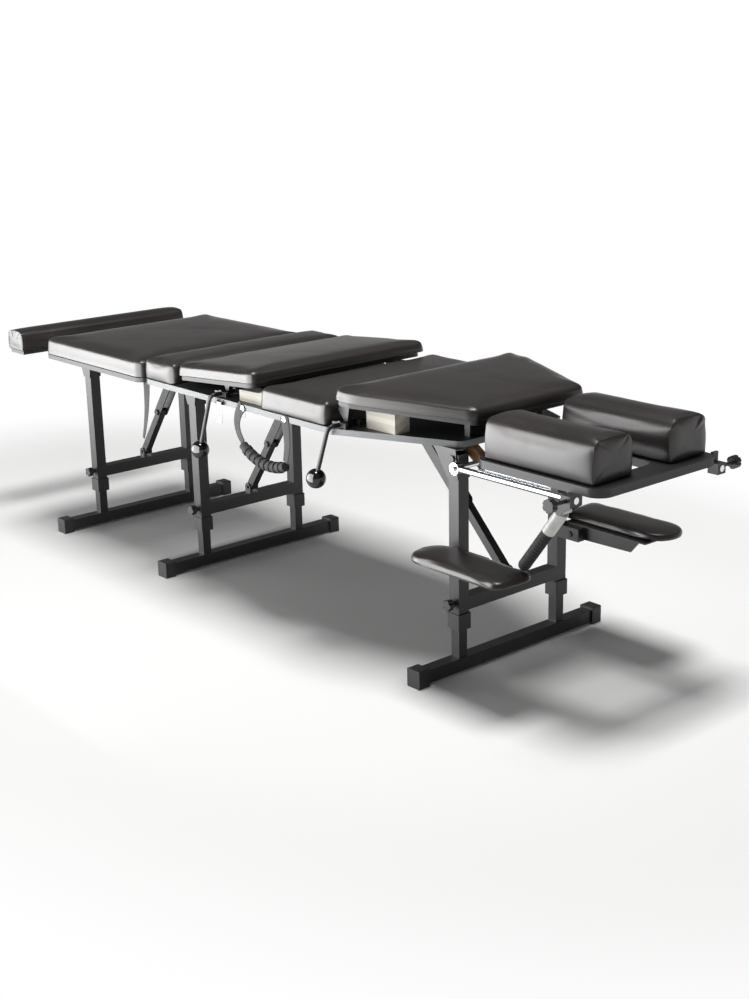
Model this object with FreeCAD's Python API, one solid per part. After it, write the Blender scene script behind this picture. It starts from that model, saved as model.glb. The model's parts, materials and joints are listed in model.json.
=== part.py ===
import FreeCAD, Part
import math
import os

os.makedirs("parts", exist_ok=True)
V = FreeCAD.Vector

# A portable chiropractic table. +X points to the head end, -Y is the lever side, +Z is up from the floor.
# All lengths are millimetres and all angles degrees.

# Stations along the table, from the foot end to the head end
BOLSTER_SPAN = 86.0
BOLSTER_GAP = 128.0
LEG_PAD_SPAN = 495.0
KNEE_GAP = 22.0
KNEE_PAD_SPAN = 135.0
PELVIC_GAP = 15.0
PELVIC_PAD_SPAN = 316.0
ABDOMINAL_GAP = 24.0
ABDOMINAL_PAD_SPAN = 250.0
THORACIC_GAP = 20.0
THORACIC_PAD_SPAN = 338.0
CUSHION_GAP = 34.0
CUSHION_SPAN = 293.0
PLATFORM_LIP = 29.0

# Boards and pads
PAD_WIDTH = 550.0
PAD_CORNER = 26.0
PAD_EDGE = 14.0
DECK_TOP = 522.0
DECK_THICK = 14.0
TRIM_THICK = 2.0
PAD_THICK = 55.0
SOFT_GAP = 0.3
FOOT_BOARD_BOTTOM = 504.0
FOOT_BOARD_THICK = 12.0
LEG_PAD_THICK = 48.0
BOLSTER_BOTTOM = 492.0
BOLSTER_THICK = 68.0
BOLSTER_BOARD_THICK = 10.0
DECK_END_WIDTH = 310.0
DECK_TAPER_LENGTH = 285.0
DECK_OVERHANG = 52.0
DECK_CORNER = 22.0

# Drop pads: hinge height, tilt when cocked, and tilt lost in the drop
DROP_BOARD_THICK = 10.0
DROP_PAD_THICK = 32.0
DROP_PIN_R = 3.0
PELVIC_HINGE_INSET = 10.0
PELVIC_HINGE_Z = 534.0
PELVIC_COCKED = 4.5
PELVIC_DROP = 2.4
THORACIC_HINGE_INSET = 78.0
THORACIC_HINGE_Z = 561.0
THORACIC_COCKED = 2.2
THORACIC_DROP = 2.2
THORACIC_END_WIDTH = 330.0
HINGE_BOARD_RISE = 6.0
HINGE_EAR_THICK = 4.0
HINGE_EAR_Y = 110.0

# Levers and involute cams
LEVER_SWING = 50.0
LEVER_ROD_R = 5.0
LEVER_SHAFT_Z = 529.0
LEVER_OUT = 290.0
PELVIC_LEVER_DROP = 140.0
THORACIC_LEVER_DROP = 120.0
LEVER_LEAN = 21.0
LEVER_BEND_R = 14.0
BALL_R = 22.5
BALL_SOCKET = 8.0
PELVIC_LEVER_INSET = 146.0
THORACIC_LEVER_INSET = 8.0
LEVER_TIP_Y = 178.0
CHEEK_THICK = 8.0
CHEEK_OUTER_Y = 256.0
CHEEK_INNER_Y = 214.0
CHEEK_SPAN = 46.0
CAM_THICK = 12.0
CAM_GAP = 0.2
CAM_HUB_R = 6.4

# Pine drop stops
STOP_WIDTH = 42.0
STOP_GAP = 0.3
STOP_LENGTH = 94.0
PELVIC_STOP_PROUD = 16.0
PELVIC_STOP_Y = 252.0
THORACIC_STOP_INSET = 50.0
THORACIC_STOP_Y = 216.0

# Leg frames
FOOT_LEG_INSET = 48.0
MIDDLE_LEG_X = 0.0
HEAD_LEG_INSET = 10.0
LEG_HALF_SPACING = 155.0
OUTER_TUBE = 30.0
OUTER_WALL = 2.5
INNER_TUBE = 24.0
INNER_WALL = 2.0
HINGE_DROP = 21.0
TUBE_ABOVE_HINGE = 9.0
COLLAR_BOTTOM = 102.0
COLLAR_HEIGHT = 36.0
COLLAR_SIZE = 37.0
CROSSBAR_Z = 159.0
BASE_HALF = 292.0
BASE_Z = 21.0
BASE_TUBE = 30.0
CAP_LENGTH = 30.0
CAP_WIDTH = 39.0
CAP_HEIGHT = 42.0
INNER_TOP = 290.0
PIN_R = 4.0
PIN_CLEARANCE = 0.06
LEG_BRACKET_PLATE = 2.5
LEG_BRACKET_GAP = 0.5
LEG_BRACKET_WIDE = 41.0
LEG_BRACKET_SHORT = 26.0
HEAD_BRACKET_WIDE = 59.0
HEAD_BRACKET_SHORT = 9.0
LEG_BRACKET_FOOT = 32.0
LEG_BRACKET_DROP = 65.0
KNOB_Z = 162.0
KNOB_R = 13.0
KNOB_LOBES = 5
KNOB_SCREW_R = 4.0
KNOB_HOLE_GAP = 0.3

# Folding braces
BRACE_FOOT_OFFSET = 10.0
BRACE_FOOT_Z = 192.0
BRACE_TOP_DROP = 18.0
BRACE_RUN = 222.0
HEAD_BRACE_RUN = 300.0
BRACE_ELBOW = 0.46
BRACE_TUBE = 20.0
BRACE_PLATE = 3.0
BRACE_PLATE_WIDTH = 26.0
BRACE_GAP = 0.8
BRACE_EAR_R = 11.0

# Head section
HEAD_AXLE_REACH = 22.0
HEAD_AXLE_Z = 476.0
HEAD_AXLE_R = 6.0
HEAD_AXLE_OUT = 14.0
EYE_R = 13.0
EYE_WIDTH = 16.0
ARM_BLOCK_Y = 115.0
ARM_BLOCK_THICK = 20.0
ARM_BLOCK_SPAN = 42.0
ARM_BLOCK_NOSE = 13.0
ROD_R = 7.0
ROD_Y = 192.0
RAIL_SPAN = 197.0
RAIL_Y = 169.0
RAIL_THICK = 6.0
RAIL_HEIGHT = 14.0
PLATFORM_WIDTH = 372.0
PLATFORM_BOTTOM = 487.0
PLATFORM_THICK = 18.0
PLATFORM_REACH = 22.0
PLATFORM_CORNER = 34.0
CUSHION_WIDTH = 120.0
CUSHION_OUTER_Y = 176.0
CUSHION_THICK = 92.0
CUSHION_EDGE = 26.0
BOLSTER_EDGE = 16.0
CUSHION_HEM = 4.0
NEAR_CLAMP_INSET = 68.0
FAR_CLAMP_INSET = 14.0
CLAMP_SPAN = 26.0
CLAMP_LUG = 20.0
CLAMP_KNOB_R = 14.0
CLAMP_KNOB_THICK = 14.0
CLAMP_KNOB_OUT = 66.0
CLAMP_KNOB_FLUTES = 6
CLAMP_SCREW_R = 4.0
PROP_R = 13.0
PROP_SLEEVE_R = 14.0
PROP_SLEEVE_LENGTH = 58.0
PROP_EYE_R = 9.0
PROP_FOOT_INSET = 18.0
PROP_PIVOT_INSET = 17.0
PROP_PIVOT_Z = 452.0
PROP_EAR_GAP = 0.5
PROP_EAR_THICK = 3.0

# Armrests
PADDLE_ROUND = 54.0
PADDLE_SQUARE = 24.0
PADDLE_SPAN = 288.0
PADDLE_WIDTH = 112.0
PADDLE_THICK = 20.0
PADDLE_TOP = 300.0
PADDLE_INNER_Y = 176.0
NEAR_PADDLE_BACK = 41.0
FAR_PADDLE_BACK = 8.0
ARM_PIVOT_REACH = 52.0
ARM_PIVOT_Z = 262.0
ARM_BOX_SPAN = 62.0
ARM_BOX_HEIGHT = 30.0
ARM_PLATE_THICK = 3.0
ARM_PLATE_DROP = 26.0

# Fittings
STRAP_THICK = 2.0
STRAP_WIDTH = 32.0
STRAP_END_WIDTH = 20.0
STRAP_LAP = 12.0
HANDLE_BACK = 34.0
HANDLE_SPAN = 159.0
HANDLE_FOOT_SWAY = -24.0
HANDLE_HEAD_SWAY = 9.0
GRIP_FOOT_REACH = -4.0
GRIP_FOOT_Z = 424.0
GRIP_LOW_REACH = 84.0
GRIP_LOW_Z = 392.0
GRIP_HEAD_REACH = 158.0
GRIP_HEAD_Z = 402.0
GRIP_R = 11.0
GRIP_RIB_R = 13.5
GRIP_RIB_WIDTH = 9.0
GRIP_RIBS = 8
GRIP_PLAIN_END = 11.0
LATCH_INSET = 193.0
LATCH_PIN_Z = 513.0
LATCH_LENGTH = 45.0
LATCH_WIDTH = 14.0
LATCH_PIN_R = 2.0
HANG_STRAP_Y = 195.0
HANG_STRAP_THICK = 1.5
HANG_STRAP_INSET = 94.0
HANG_STRAP_DROP = 182.0
HANG_STRAP_SWAY = -30.0
HANG_STRAP_TOP_WIDTH = 36.0
HANG_STRAP_END_WIDTH = 12.0

# Section hinges between the leg section and the deck
SECTION_HINGE_Y = 205.0
SECTION_HINGE_HALF = 24.0
SECTION_KNUCKLE_HALF = 8.0
SECTION_KNUCKLE_R = 5.0
SECTION_PIN_R = 2.5
SECTION_PIN_DROP = 2.0
SECTION_LEAF = 46.0
SECTION_STRAP_THICK = 4.0

# Bolster rods and their guides
BOLSTER_ROD_R = 6.0
BOLSTER_ROD_Y = 70.0
BOLSTER_ROD_REACH = 190.0
BOLSTER_ROD_DROP = 3.0
BOLSTER_BOARD_INSET = 6.0
BOLSTER_FOOT_SPAN = 26.0
BOLSTER_FOOT_HALF = 9.0
BOLSTER_FOOT_INSET = 14.0
GUIDE_SPAN = 24.0
GUIDE_PITCH = 90.0
GUIDE_HALF = 14.0

# Bolts
BOLT_ACROSS = 13.0
BOLT_HEAD = 4.0

# Stations worked out from the spans, measured from the middle of the base bars of the middle leg
LEG_PAD_FROM = -575.0
BOLSTER_FROM = LEG_PAD_FROM - BOLSTER_GAP - BOLSTER_SPAN
LEG_PAD_TO = LEG_PAD_FROM + LEG_PAD_SPAN
KNEE_FROM = LEG_PAD_TO + KNEE_GAP
KNEE_TO = KNEE_FROM + KNEE_PAD_SPAN
PELVIC_FROM = KNEE_TO + PELVIC_GAP
PELVIC_TO = PELVIC_FROM + PELVIC_PAD_SPAN
ABDOMINAL_FROM = PELVIC_TO + ABDOMINAL_GAP
ABDOMINAL_TO = ABDOMINAL_FROM + ABDOMINAL_PAD_SPAN
THORACIC_FROM = ABDOMINAL_TO + THORACIC_GAP
THORACIC_TO = THORACIC_FROM + THORACIC_PAD_SPAN
CUSHION_FROM = THORACIC_TO + CUSHION_GAP
CUSHION_TO = CUSHION_FROM + CUSHION_SPAN
HEAD_END = CUSHION_TO + PLATFORM_LIP
MIDDLE = (BOLSTER_FROM + HEAD_END) / 2
DECK_BOTTOM = DECK_TOP - DECK_THICK
DECK_TO = THORACIC_TO - DECK_OVERHANG
PELVIC_HINGE_X = PELVIC_FROM + PELVIC_HINGE_INSET
THORACIC_HINGE_X = THORACIC_TO - THORACIC_HINGE_INSET
PELVIC_LEVER_X = PELVIC_TO - PELVIC_LEVER_INSET
THORACIC_LEVER_X = THORACIC_FROM + THORACIC_LEVER_INSET
PELVIC_STOP_TO = PELVIC_TO + PELVIC_STOP_PROUD
PELVIC_STOP_FROM = PELVIC_STOP_TO - STOP_LENGTH
THORACIC_STOP_FROM = THORACIC_FROM + THORACIC_STOP_INSET
THORACIC_STOP_TO = THORACIC_STOP_FROM + STOP_LENGTH
FOOT_LEG_X = LEG_PAD_FROM + FOOT_LEG_INSET
HEAD_LEG_X = DECK_TO - HEAD_LEG_INSET
HEAD_AXLE_X = DECK_TO + HEAD_AXLE_REACH
PLATFORM_START = CUSHION_FROM - PLATFORM_REACH
NEAR_CLAMP_X = HEAD_END - NEAR_CLAMP_INSET
FAR_CLAMP_X = HEAD_END - FAR_CLAMP_INSET
PROP_PIVOT_X = NEAR_CLAMP_X - PROP_PIVOT_INSET
NEAR_PADDLE_START = HEAD_LEG_X - NEAR_PADDLE_BACK
FAR_PADDLE_START = HEAD_LEG_X - FAR_PADDLE_BACK
ARM_PIVOT_X = HEAD_LEG_X + ARM_PIVOT_REACH
PROP_FOOT_X = NEAR_PADDLE_START + PADDLE_SPAN - PROP_FOOT_INSET
HANDLE_FOOT_X = PELVIC_TO - HANDLE_BACK
HANDLE_HEAD_X = HANDLE_FOOT_X + HANDLE_SPAN
LATCH_X = PELVIC_FROM + LATCH_INSET
HANG_STRAP_X = LEG_PAD_FROM + HANG_STRAP_INSET

NODES = {}


def add(name, *shapes):
    """Keep the solids of one sub-part."""
    solids = NODES.setdefault(name, [])
    for shape in shapes:
        solids.extend(shape.Solids)


def box(x0, x1, y0, y1, z0, z1):
    """A box between two corners."""
    lo = V(min(x0, x1), min(y0, y1), min(z0, z1))
    return Part.makeBox(abs(x1 - x0), abs(y1 - y0), abs(z1 - z0), lo)


def rod(radius, start, end):
    """A round bar between two points."""
    axis = end - start
    return Part.makeCylinder(radius, axis.Length, start, axis)


def rod_y(radius, x, z, y0, y1):
    """A round bar along Y."""
    return rod(radius, V(x, min(y0, y1), z), V(x, max(y0, y1), z))


def bore_y(radius, x, z, y0, y1):
    """A cutter for a hole along Y that runs 1 mm past both faces."""
    return rod_y(radius, x, z, min(y0, y1) - 1, max(y0, y1) + 1)


def fuse(*shapes):
    """One solid out of touching shapes."""
    first, rest = shapes[0], list(shapes[1:])
    return first.fuse(rest).removeSplitter()


def tube_z(size, wall, x, y, z0, z1):
    """A square tube along Z."""
    h = size / 2
    outer = box(x - h, x + h, y - h, y + h, z0, z1)
    i = h - wall
    return outer.cut(box(x - i, x + i, y - i, y + i, z0, z1))


def tube_y(size, wall, x, z, y0, y1):
    """A square tube along Y."""
    h = size / 2
    outer = box(x - h, x + h, y0, y1, z - h, z + h)
    i = h - wall
    return outer.cut(box(x - i, x + i, y0, y1, z - i, z + i))


def prism_y(points, y0, y1):
    """A flat outline in the XZ plane, drawn out along Y."""
    corners = [V(x, y0, z) for x, z in points]
    face = Part.Face(Part.makePolygon(corners + corners[:1]))
    return face.extrude(V(0, y1 - y0, 0))


def edges_at(shape, z, upright=False):
    """The edges that lie flat at one height, or that stand upright."""
    if upright:
        boxes = [(e, e.BoundBox) for e in shape.Edges]
        return [e for e, b in boxes if b.ZLength > 1 and b.XLength + b.YLength < 1e-4]
    return [e for e in shape.Edges if abs(e.BoundBox.ZMin - z) < 1e-4 and abs(e.BoundBox.ZMax - z) < 1e-4]


def pad(x0, x1, y0, y1, z0, z1, corner, edge):
    """An upholstered pad with round corners and a soft upper edge."""
    block = box(x0, x1, y0, y1, z0, z1)
    block = block.makeFillet(corner, edges_at(block, 0, upright=True))
    return block.makeFillet(edge, edges_at(block, z1))


def boxed_cushion(x0, x1, y0, y1, z0, z1, length, edge):
    """A boxed cushion: its top is rolled along its length, and its sewn ends are nearly square."""
    block = box(x0, x1, y0, y1, z0, z1)
    runs = [e for e in edges_at(block, z1) if getattr(e.BoundBox, length) > 1]
    block = block.makeFillet(edge, runs)
    ends = [e for e in block.Edges if getattr(e.BoundBox, length) < 1e-4 and e.BoundBox.ZMax > z0 + 1]
    return block.makeFillet(CUSHION_HEM, ends)


def hex_y(x, z, y0, y1):
    """A hexagonal bolt head along Y."""
    r = BOLT_ACROSS / math.sqrt(3)
    corners = [(x + r * math.cos(math.pi * i / 3), z + r * math.sin(math.pi * i / 3)) for i in range(6)]
    return prism_y(corners, min(y0, y1), max(y0, y1))


def turned(shape, x, z, degrees):
    """A piece turned about an axis along Y; a positive angle lifts the head end."""
    copy = shape.copy()
    copy.rotate(V(x, 0, z), V(0, -1, 0), degrees)
    return copy


def deck_outline(inset):
    """The deck's plan: straight sides, then a taper to the head end."""
    half = PAD_WIDTH / 2 - inset
    end = DECK_END_WIDTH / 2 - inset
    x0, x1 = KNEE_FROM + inset, DECK_TO - inset
    shoulder = x1 - DECK_TAPER_LENGTH
    return [(x0, -half), (shoulder, -half), (x1, -end), (x1, end), (shoulder, half), (x0, half)]


def plate_z(points, z0, z1, corner):
    """A flat plan, drawn up along Z, with its corners rounded."""
    corners = [V(x, y, z0) for x, y in points]
    face = Part.Face(Part.makePolygon(corners + corners[:1]))
    solid = face.extrude(V(0, 0, z1 - z0))
    return solid.makeFillet(corner, edges_at(solid, 0, upright=True))


def make_deck():
    """The main board with its edge trim, and the two fixed pads on it."""
    outer = plate_z(deck_outline(0), DECK_BOTTOM, DECK_TOP, DECK_CORNER)
    inner = plate_z(deck_outline(TRIM_THICK), DECK_BOTTOM, DECK_TOP, DECK_CORNER - TRIM_THICK)
    add("main_deck", inner)
    add("deck_edge_trim", outer.cut(inner))
    half = PAD_WIDTH / 2
    z0 = DECK_TOP + SOFT_GAP
    z1 = DECK_TOP + PAD_THICK
    add("knee_pad", pad(KNEE_FROM, KNEE_TO, -half, half, z0, z1, PAD_CORNER / 2, PAD_EDGE))
    add("abdominal_pad", pad(ABDOMINAL_FROM, ABDOMINAL_TO, -half, half, z0, z1, PAD_CORNER / 2, PAD_EDGE))


def make_foot_section():
    """The hinged leg section: its board, its pad and the sliding ankle bolster."""
    half = PAD_WIDTH / 2
    z0 = FOOT_BOARD_BOTTOM
    z1 = z0 + FOOT_BOARD_THICK
    inset = TRIM_THICK
    plan = [(LEG_PAD_FROM + inset, -half + inset), (LEG_PAD_TO - inset, -half + inset)]
    plan += [(LEG_PAD_TO - inset, half - inset), (LEG_PAD_FROM + inset, half - inset)]
    add("foot_board", plate_z(plan, z0, z1, PAD_CORNER - inset))
    top = z1 + LEG_PAD_THICK
    add("leg_pad", pad(LEG_PAD_FROM, LEG_PAD_TO, -half, half, z1 + SOFT_GAP, top, PAD_CORNER, PAD_EDGE))


def drop_pad_shapes(x0, x1, hinge_x, hinge_z, cocked, tapered):
    """A drop pad on its board, with the lugs that hang on the hinge pin, tilted as cocked."""
    half = PAD_WIDTH / 2
    bottom = hinge_z + HINGE_BOARD_RISE
    top = bottom + DROP_BOARD_THICK
    inset = TRIM_THICK + 4
    if tapered:
        end = THORACIC_END_WIDTH / 2
        shoulder = x1 - DECK_TAPER_LENGTH
        plan = [(x0, -half), (shoulder, -half), (x1, -end), (x1, end), (shoulder, half), (x0, half)]
        small = [(x0 + inset, -half + inset), (shoulder, -half + inset), (x1 - inset, -end + inset)]
        small += [(x, -y) for x, y in reversed(small)]
    else:
        plan = [(x0, -half), (x1, -half), (x1, half), (x0, half)]
        small = [(x0 + inset, -half + inset), (x1 - inset, -half + inset)]
        small += [(x, -y) for x, y in reversed(small)]
    board = plate_z(small, bottom, top, PAD_CORNER - inset)
    soft = plate_z(plan, top + SOFT_GAP, top + DROP_PAD_THICK, PAD_CORNER)
    soft = soft.makeFillet(PAD_EDGE, edges_at(soft, top + DROP_PAD_THICK))
    lug_r = 2 * DROP_PIN_R
    for side in (-1, 1):
        y0 = side * (HINGE_EAR_Y + HINGE_EAR_THICK + 1)
        y1 = side * (HINGE_EAR_Y + 2 * HINGE_EAR_THICK + 1)
        eye = rod_y(lug_r, hinge_x, hinge_z, y0, y1)
        neck = box(hinge_x - lug_r, hinge_x + lug_r, y0, y1, hinge_z, bottom)
        board = fuse(board, eye, neck).cut(bore_y(DROP_PIN_R + PIN_CLEARANCE, hinge_x, hinge_z, y0, y1))
    return turned(board, hinge_x, hinge_z, cocked), turned(soft, hinge_x, hinge_z, cocked)


def drop_hinge_base(hinge_x, hinge_z):
    """Two ears on the deck that hold one hinge pin each."""
    shapes = []
    for side in (-1, 1):
        y0 = side * HINGE_EAR_Y
        y1 = side * (HINGE_EAR_Y + HINGE_EAR_THICK)
        y2 = side * (HINGE_EAR_Y + 2 * HINGE_EAR_THICK + 2)
        ear = fuse(
            box(hinge_x - 8, hinge_x + 8, y0, y1, DECK_TOP, hinge_z),
            rod_y(5, hinge_x, hinge_z, y0, y1),
            rod_y(DROP_PIN_R, hinge_x, hinge_z, y1, y2),
            box(hinge_x - 8, hinge_x + 8, y0, y0 - side * 24, DECK_TOP, DECK_TOP + 3),
        )
        shapes.append(ear)
    return shapes


def board_height(x, hinge_x, hinge_z, tilt):
    """The height of the underside of a drop board over one station."""
    lift = math.radians(tilt)
    return hinge_z + HINGE_BOARD_RISE / math.cos(lift) + (x - hinge_x) * math.tan(lift)


def cam_base_radius(lever_x, hinge_x, drop):
    """The base circle that lowers the board by the drop over the lever's swing."""
    swing = math.radians(LEVER_SWING)
    tilt = math.radians(abs(drop))
    reach = abs(lever_x - hinge_x)
    side = 1 if lever_x > hinge_x else -1
    return reach * tilt / (swing - side * tilt)


def involute_cam(lever_x, hinge_x, hinge_z, cocked, drop):
    """A finger whose upper flank is the involute of its base circle, so that the lift is even."""
    base = cam_base_radius(lever_x, hinge_x, drop)
    contact_x = lever_x + base
    high = board_height(contact_x, hinge_x, hinge_z, cocked) - LEVER_SHAFT_Z - CAM_GAP
    roll_high = high / base
    roll_low = roll_high - math.radians(LEVER_SWING)
    steps = 12
    flank = []
    for i in range(steps + 1):
        roll = roll_low - 0.12 + (roll_high - roll_low + 0.12) * i / steps
        r = base * math.hypot(1, roll)
        angle = math.atan2(roll, 1) + (roll_high - roll)
        flank.append(V(lever_x + r * math.cos(angle), 0, LEVER_SHAFT_Z + r * math.sin(angle)))
    tip = flank[-1]
    start = flank[0]
    curve = Part.BSplineCurve()
    curve.interpolate(flank)
    toward = V(tip.x - lever_x, 0, tip.z - LEVER_SHAFT_Z)
    toward.normalize()
    across = V(toward.z, 0, -toward.x)
    heel = tip + across * 5
    foot = V(lever_x, 0, LEVER_SHAFT_Z) + across * (CAM_HUB_R - 0.5)
    centre = V(lever_x, 0, LEVER_SHAFT_Z)
    sides = [curve.toShape(), Part.makeLine(tip, heel), Part.makeLine(heel, foot)]
    sides += [Part.makeLine(foot, centre), Part.makeLine(centre, start)]
    face = Part.Face(Part.Wire(Part.__sortEdges__(sides)))
    y0 = -(CHEEK_OUTER_Y + CHEEK_INNER_Y) / 2 - CAM_THICK / 2
    face.translate(V(0, y0, 0))
    finger = face.extrude(V(0, CAM_THICK, 0))
    hub = rod_y(CAM_HUB_R, lever_x, LEVER_SHAFT_Z, y0, y0 + CAM_THICK)
    return fuse(hub, finger)


def lever_shapes(lever_x, cam, length):
    """An L-shaped rod: the shaft under the pad, a bend outside the deck and the handle that hangs down."""
    lean = math.radians(LEVER_LEAN)
    out = V(0, -1, 0)
    down = V(-math.sin(lean), 0, -math.cos(lean))
    corner = V(lever_x, -LEVER_OUT, LEVER_SHAFT_Z)
    bend_in = corner - out * LEVER_BEND_R
    bend_out = corner + down * LEVER_BEND_R
    end = corner + down * length
    section = Part.Face(Part.Wire(Part.makeCircle(LEVER_ROD_R, bend_in, out)))
    bend = section.revolve(bend_in + down * LEVER_BEND_R, out.cross(down), 90)
    shaft = rod(LEVER_ROD_R, V(lever_x, -LEVER_TIP_Y, LEVER_SHAFT_Z), bend_in)
    handle = rod(LEVER_ROD_R, bend_out, end)
    ball = Part.makeSphere(BALL_R, end + down * (BALL_R - BALL_SOCKET), down)
    socket = rod(LEVER_ROD_R + PIN_CLEARANCE, end - down * BALL_R, end)
    return fuse(shaft, bend, handle, cam), ball.cut(socket)


def cheek_shapes(lever_x):
    """The two bearing blocks that carry one lever's shaft on the deck."""
    shapes = []
    for y in (CHEEK_OUTER_Y, CHEEK_INNER_Y):
        y0, y1 = -y - CHEEK_THICK / 2, -y + CHEEK_THICK / 2
        half = CHEEK_SPAN / 2
        block = box(lever_x - half, lever_x + half, y0, y1, DECK_TOP, LEVER_SHAFT_Z + 5)
        cap = rod_y(LEVER_ROD_R + 3.5, lever_x, LEVER_SHAFT_Z, y0, y1)
        cap = cap.common(box(lever_x - 20, lever_x + 20, -y - 9, -y + 9, DECK_TOP, LEVER_SHAFT_Z + 20))
        bore = rod_y(LEVER_ROD_R + PIN_CLEARANCE, lever_x, LEVER_SHAFT_Z, -y - 9, -y + 9)
        shapes.append(fuse(block, cap).cut(bore))
    return shapes


def stop_block(x0, x1, y, hinge_x, hinge_z, tilt):
    """A pine block whose sloped top meets the dropped board."""
    top0 = board_height(x0, hinge_x, hinge_z, tilt) - STOP_GAP
    top1 = board_height(x1, hinge_x, hinge_z, tilt) - STOP_GAP
    outline = [(x0, DECK_TOP), (x1, DECK_TOP), (x1, top1), (x0, top0)]
    return prism_y(outline, y - STOP_WIDTH / 2, y + STOP_WIDTH / 2)


def make_drop_sections():
    """Both drop pads with their hinges, stops, levers and cams."""
    sections = [
        ("pelvic", PELVIC_FROM, PELVIC_TO, PELVIC_HINGE_X, PELVIC_HINGE_Z, PELVIC_COCKED, PELVIC_DROP,
         PELVIC_LEVER_X, PELVIC_LEVER_DROP, PELVIC_STOP_FROM, PELVIC_STOP_TO, PELVIC_STOP_Y),
        ("thoracic", THORACIC_FROM, THORACIC_TO, THORACIC_HINGE_X, THORACIC_HINGE_Z, -THORACIC_COCKED,
         -THORACIC_DROP, THORACIC_LEVER_X, THORACIC_LEVER_DROP,
         THORACIC_STOP_FROM, THORACIC_STOP_TO, THORACIC_STOP_Y),
    ]
    for name, x0, x1, hinge_x, hinge_z, cocked, drop, lever_x, length, stop0, stop1, stop_y in sections:
        board, soft = drop_pad_shapes(x0, x1, hinge_x, hinge_z, cocked, name == "thoracic")
        add(name + "_board", board)
        add(name + "_pad", soft)
        add("drop_hardware", *drop_hinge_base(hinge_x, hinge_z))
        for side in (-1, 1):
            y = side * (stop_y - STOP_WIDTH / 2)
            add("pine_stops", stop_block(stop0, stop1, y, hinge_x, hinge_z, cocked - drop))
        cam = involute_cam(lever_x, hinge_x, hinge_z, cocked, drop)
        lever, ball = lever_shapes(lever_x, cam, length)
        add(name + "_lever", lever)
        add(name + "_lever_ball", ball)
        add("drop_hardware", *cheek_shapes(lever_x))


def leg_bracket(x, board_bottom, back, front):
    """A folded steel bracket with flared cheeks on both sides of a leg tube, and its pivot bolt."""
    h = OUTER_TUBE / 2 + LEG_BRACKET_GAP
    t = LEG_BRACKET_PLATE
    hinge_z = board_bottom - HINGE_DROP
    half = LEG_BRACKET_FOOT / 2
    foot = board_bottom - LEG_BRACKET_DROP
    outline = [(x - back, board_bottom), (x + front, board_bottom), (x + half, foot), (x - half, foot)]
    shapes = []
    for side in (-1, 1):
        y = side * LEG_HALF_SPACING
        low = prism_y(outline, y - h - t, y - h)
        high = prism_y(outline, y + h, y + h + t)
        web = box(x - back, x + front, y - h - t, y + h + t, board_bottom - t, board_bottom)
        bolt = rod_y(PIN_R, x, hinge_z, y - h - t, y + h + t)
        heads = [hex_y(x, hinge_z, y + s * (h + t), y + s * (h + t + BOLT_HEAD)) for s in (-1, 1)]
        shapes.append(fuse(low, high, web, bolt, *heads))
    return shapes


def brace_points(x, board_bottom, lean, run):
    """The pivots of a folding brace: on the crossbar, at the elbow and under the board."""
    foot = V(x + lean * BRACE_FOOT_OFFSET, 0, BRACE_FOOT_Z)
    top = V(x + lean * run, 0, board_bottom - BRACE_TOP_DROP)
    elbow = foot + (top - foot) * BRACE_ELBOW
    return foot, elbow, top


def brace_shapes(x, board_bottom, lean, run):
    """The lower tube and the two upper plates of a folding brace, and the bracket under the board."""
    foot, elbow, top = brace_points(x, board_bottom, lean, run)
    axis = (top - foot).normalize()
    h = BRACE_TUBE / 2
    length = (elbow - foot).Length
    turn = math.degrees(math.atan2(axis.x, axis.z))

    def along(shape, origin):
        copy = shape.copy()
        copy.rotate(V(0, 0, 0), V(0, 1, 0), turn)
        copy.translate(origin)
        return copy

    pin_hole = PIN_R + PIN_CLEARANCE
    bar = fuse(box(-h, h, -h, h, 0, length), rod_y(h, 0, 0, -h, h), rod_y(h, 0, length, -h, h))
    bar = bar.cut(rod_y(pin_hole, 0, 0, -h - 1, h + 1))
    w = BRACE_PLATE_WIDTH / 2
    upper = (top - elbow).Length
    y0 = h + BRACE_GAP
    y1 = y0 + BRACE_PLATE
    plates = []
    for side in (-1, 1):
        plate = fuse(box(-w, w, side * y0, side * y1, 0, upper), rod_y(w, 0, 0, side * y0, side * y1),
                     rod_y(w, 0, upper, side * y0, side * y1))
        plate = plate.cut(bore_y(pin_hole, 0, upper, side * y0, side * y1))
        head = rod_y(8, 0, 0, side * y1, side * (y1 + 5))
        plates.append(fuse(plate, head))
    rivet = rod_y(3, 0, upper * 0.62, -y0, y0)
    link = fuse(plates[0], rivet, plates[1])
    e0 = y1 + BRACE_GAP
    e1 = e0 + BRACE_PLATE
    ears = [box(top.x - 14, top.x + 14, -e1, e1, board_bottom - 3, board_bottom)]
    for side in (-1, 1):
        ears.append(prism_y([(top.x - 14, board_bottom), (top.x + 14, board_bottom), (top.x + 7, top.z - 7),
                             (top.x - 7, top.z - 7)], min(side * e0, side * e1), max(side * e0, side * e1)))
    ears.append(rod_y(PIN_R, top.x, top.z, -e1 - 3, e1 + 3))
    return along(bar, foot), along(link, elbow), fuse(*ears)


def brace_foot_ears(x, lean):
    """The ears on the crossbar that hold the foot of the brace."""
    px = x + lean * BRACE_FOOT_OFFSET
    y0 = BRACE_TUBE / 2 + BRACE_GAP
    y1 = y0 + BRACE_PLATE
    top = CROSSBAR_Z + OUTER_TUBE / 2
    shapes = []
    for side in (-1, 1):
        ya, yb = sorted((side * y0, side * y1))
        ear = box(px - BRACE_EAR_R, px + BRACE_EAR_R, ya, yb, top, BRACE_FOOT_Z)
        shapes.append(fuse(ear, rod_y(BRACE_EAR_R, px, BRACE_FOOT_Z, ya, yb)))
    shapes.append(rod_y(PIN_R, px, BRACE_FOOT_Z, -y1 - 4, y1 + 4))
    return shapes


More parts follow.
